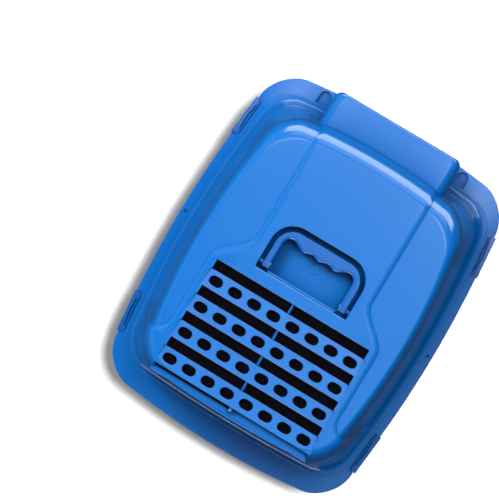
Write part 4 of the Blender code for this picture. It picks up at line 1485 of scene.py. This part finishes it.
# What the floor has to do with each matte lamp, its name, place, the point it looks at, its size and power
MATTE_LAMPS = (
    ("INCLUDE", "over_floor", (-0.46, -0.46, 3.6), (0, 0, 0.2), (0.42, 0.42), 150),
    ("EXCLUDE", "key", (2.0, -0.9, 3.2), (0, 0, 0.3), (1.2, 1.2), 96),
    ("EXCLUDE", "top", (-0.3, -0.9, 3.5), (0, 0, 0.3), (1.2, 1.2), 54),
)
# The cards that only glossy surfaces show, in the same terms
GLOSS_CARDS = (
    ("front_box", (0.0, -2.2, 1.00), (0, -0.1, 0.35), (4.0, 1.2), 115),
    ("front_upper", (0.0, -1.9, 2.10), (0, -0.1, 0.35), (2.6, 1.0), 18),
    ("rear_box", (-0.3, 2.2, 1.05), (0, 0.1, 0.35), (1.8, 1.2), 44),
    ("corner_card", (-0.46, -0.62, 3.0), (0, 0, 0), (0.42, 0.34), 2.3),
    ("corner_card", (0.46, -0.62, 3.0), (0, 0, 0), (0.42, 0.34), 2.3),
)
CAMERA_AIM = (0.0902, -0.0019, FLANGE_TOP)


def softbox(name, place, aim, size, power, seen_by):
    """A rectangular soft light that looks at a point, for matte surfaces or for glossy ones."""
    lamp = bpy.data.lights.new(name, "AREA")
    lamp.shape = "RECTANGLE"
    lamp.size, lamp.size_y = size
    lamp.energy = power
    holder = bpy.data.objects.new(name, lamp)
    holder.location = place
    holder.rotation_euler = (Vector(aim) - Vector(place)).to_track_quat("-Z", "Y").to_euler()
    holder.visible_diffuse = seen_by != "glossy"
    holder.visible_glossy = seen_by != "matte"
    bpy.context.scene.collection.objects.link(holder)
    return holder


def aim_at_floor(lamp, floor, state):
    """Makes a light shine on the floor alone, or on everything except the floor."""
    chosen = bpy.data.collections.new(f"{lamp.name}_floor")
    chosen.objects.link(floor)
    lamp.light_linking.receiver_collection = chosen
    chosen.collection_objects[0].light_linking.link_state = state


def soft_room():
    """A pale ceiling that dims towards the rear, over a horizon that dims to one side."""
    world = bpy.data.worlds.new("soft_room")
    world.use_nodes = True
    tree = world.node_tree
    link = tree.links.new
    toward = node(tree, "ShaderNodeTexCoord")
    parts = node(tree, "ShaderNodeSeparateXYZ")
    link(toward.outputs["Generated"], parts.inputs[0])
    behind = node(tree, "ShaderNodeVectorMath", operation="DOT_PRODUCT")
    behind.inputs[1].default_value = (0.90, 0.80, 0.0)
    link(toward.outputs["Generated"], behind.inputs[0])
    ceiling = graded(tree, behind.outputs["Value"], (-0.05, 0.22), (1.0, 0.12))
    horizon = graded(tree, parts.outputs["X"], (-0.8, 0.8), (0.02, 0.50))
    climb = graded(tree, parts.outputs["Z"], (0.70, 0.985), (0.0, 1.0))
    both = node(tree, "ShaderNodeMix", data_type="FLOAT")
    link(climb, both.inputs["Factor"])
    link(horizon, both.inputs["A"])
    link(ceiling, both.inputs["B"])
    link(both.outputs["Result"], tree.nodes["Background"].inputs["Strength"])
    tree.nodes["Background"].inputs["Color"].default_value = (1.0, 1.0, 1.0, 1.0)
    return world


def graded(tree, value, source, target):
    """A value mapped from one range to another, with soft ends."""
    ramp = node(tree, "ShaderNodeMapRange", interpolation_type="SMOOTHSTEP")
    ramp.inputs["From Min"].default_value, ramp.inputs["From Max"].default_value = source
    ramp.inputs["To Min"].default_value, ramp.inputs["To Max"].default_value = target
    tree.links.new(value, ramp.inputs["Value"])
    return ramp.outputs[0]


def floor_finish():
    """White floor with the faintest mottling, which sends little light back up at the object."""
    material = bpy.data.materials.new("white_floor")
    material.use_nodes = True
    tree = material.node_tree
    link = tree.links.new
    shader = tree.nodes["Principled BSDF"]
    shader.inputs["Roughness"].default_value = 0.9
    shader.inputs["Specular IOR Level"].default_value = 0.0
    place = node(tree, "ShaderNodeTexCoord")
    mottle = node(tree, "ShaderNodeTexNoise", Scale=3.0)
    link(place.outputs["Object"], mottle.inputs["Vector"])
    ramp = node(tree, "ShaderNodeValToRGB")
    ramp.color_ramp.elements[0].color = (0.93, 0.93, 0.93, 1.0)
    ramp.color_ramp.elements[1].color = (0.95, 0.95, 0.95, 1.0)
    link(mottle.outputs["Fac"], ramp.inputs[0])
    path = node(tree, "ShaderNodeLightPath")
    seen = node(tree, "ShaderNodeMix", data_type="RGBA")
    seen.inputs["A"].default_value = (0.04, 0.04, 0.04, 1.0)
    link(path.outputs["Is Camera Ray"], seen.inputs["Factor"])
    link(ramp.outputs[0], seen.inputs["B"])
    link(seen.outputs["Result"], shader.inputs["Base Color"])
    return material


class LITTERBOX_OT_stage(bpy.types.Operator):
    """Lay the floor, and set the lights and the camera"""

    bl_idname = "litterbox.stage"
    bl_label = "Stage"

    def execute(self, context):
        scene = context.scene
        settings = scene.litter_box_stage
        start_fresh()
        bpy.ops.mesh.primitive_plane_add(size=30, location=(0, 0, -0.0005))
        floor = context.object
        floor.name = "floor"
        floor.data.materials.append(floor_finish())
        scene.world = soft_room()
        for state, name, place, aim, size, power in MATTE_LAMPS:
            aim_at_floor(softbox(name, place, aim, size, power, "matte"), floor, state)
        for name, place, aim, size, power in GLOSS_CARDS:
            softbox(name, place, aim, size, power, "glossy")
        scene.view_settings.view_transform = "Standard"
        lens = bpy.data.cameras.new("camera")
        lens.lens = settings.lens
        lens.sensor_width = 36.0
        lens.sensor_fit = "HORIZONTAL"
        camera = bpy.data.objects.new("camera", lens)
        scene.collection.objects.link(camera)
        place = Vector((0, 0, settings.camera_height))
        back = (place - Vector(CAMERA_AIM)).normalized()
        right = Vector((-math.cos(settings.spin), -math.sin(settings.spin), 0))
        right = (right - back * right.dot(back)).normalized()
        up = back.cross(right)
        turn = Matrix((right, up, back)).transposed().to_4x4()
        camera.matrix_world = Matrix.Translation(place) @ turn
        scene.camera = camera
        return {"FINISHED"}


class LITTERBOX_PT_panel(bpy.types.Panel):
    """Sizes, colours and the pieces of the litter box"""

    bl_idname = "LITTERBOX_PT_panel"
    bl_label = "Litter box"
    bl_space_type = "VIEW_3D"
    bl_region_type = "UI"
    bl_category = "Litter box"

    def draw(self, context):
        layout = self.layout
        scene = context.scene
        for group in (scene.litter_box_sizes, scene.litter_box_colours, scene.litter_box_stage):
            for name in group.bl_rna.properties.keys():
                if name not in ("rna_type", "name"):
                    layout.prop(group, name)
        for operator in OPERATORS:
            layout.operator(operator.bl_idname)


OPERATORS = (
    LITTERBOX_OT_stage,
    LITTERBOX_OT_hood,
    LITTERBOX_OT_handle,
    LITTERBOX_OT_clips,
    LITTERBOX_OT_pads,
    LITTERBOX_OT_rack,
    LITTERBOX_OT_flap,
    LITTERBOX_OT_tray,
)
GROUPS = (LitterBoxSizes, LitterBoxColours, LitterBoxStage)


def register():
    for made in (*GROUPS, *OPERATORS, LITTERBOX_PT_panel):
        bpy.utils.register_class(made)
    bpy.types.Scene.litter_box_sizes = bpy.props.PointerProperty(type=LitterBoxSizes)
    bpy.types.Scene.litter_box_colours = bpy.props.PointerProperty(type=LitterBoxColours)
    bpy.types.Scene.litter_box_stage = bpy.props.PointerProperty(type=LitterBoxStage)


def unregister():
    del bpy.types.Scene.litter_box_stage
    del bpy.types.Scene.litter_box_colours
    del bpy.types.Scene.litter_box_sizes
    for made in reversed((*GROUPS, *OPERATORS, LITTERBOX_PT_panel)):
        bpy.utils.unregister_class(made)


def main():
    register()
    bpy.ops.litterbox.stage()
    bpy.ops.litterbox.hood()
    bpy.ops.litterbox.handle()
    bpy.ops.litterbox.clips()
    bpy.ops.litterbox.pads()
    bpy.ops.litterbox.rack()
    bpy.ops.litterbox.flap()
    bpy.ops.litterbox.tray()


if __name__ == "__main__":
    main()
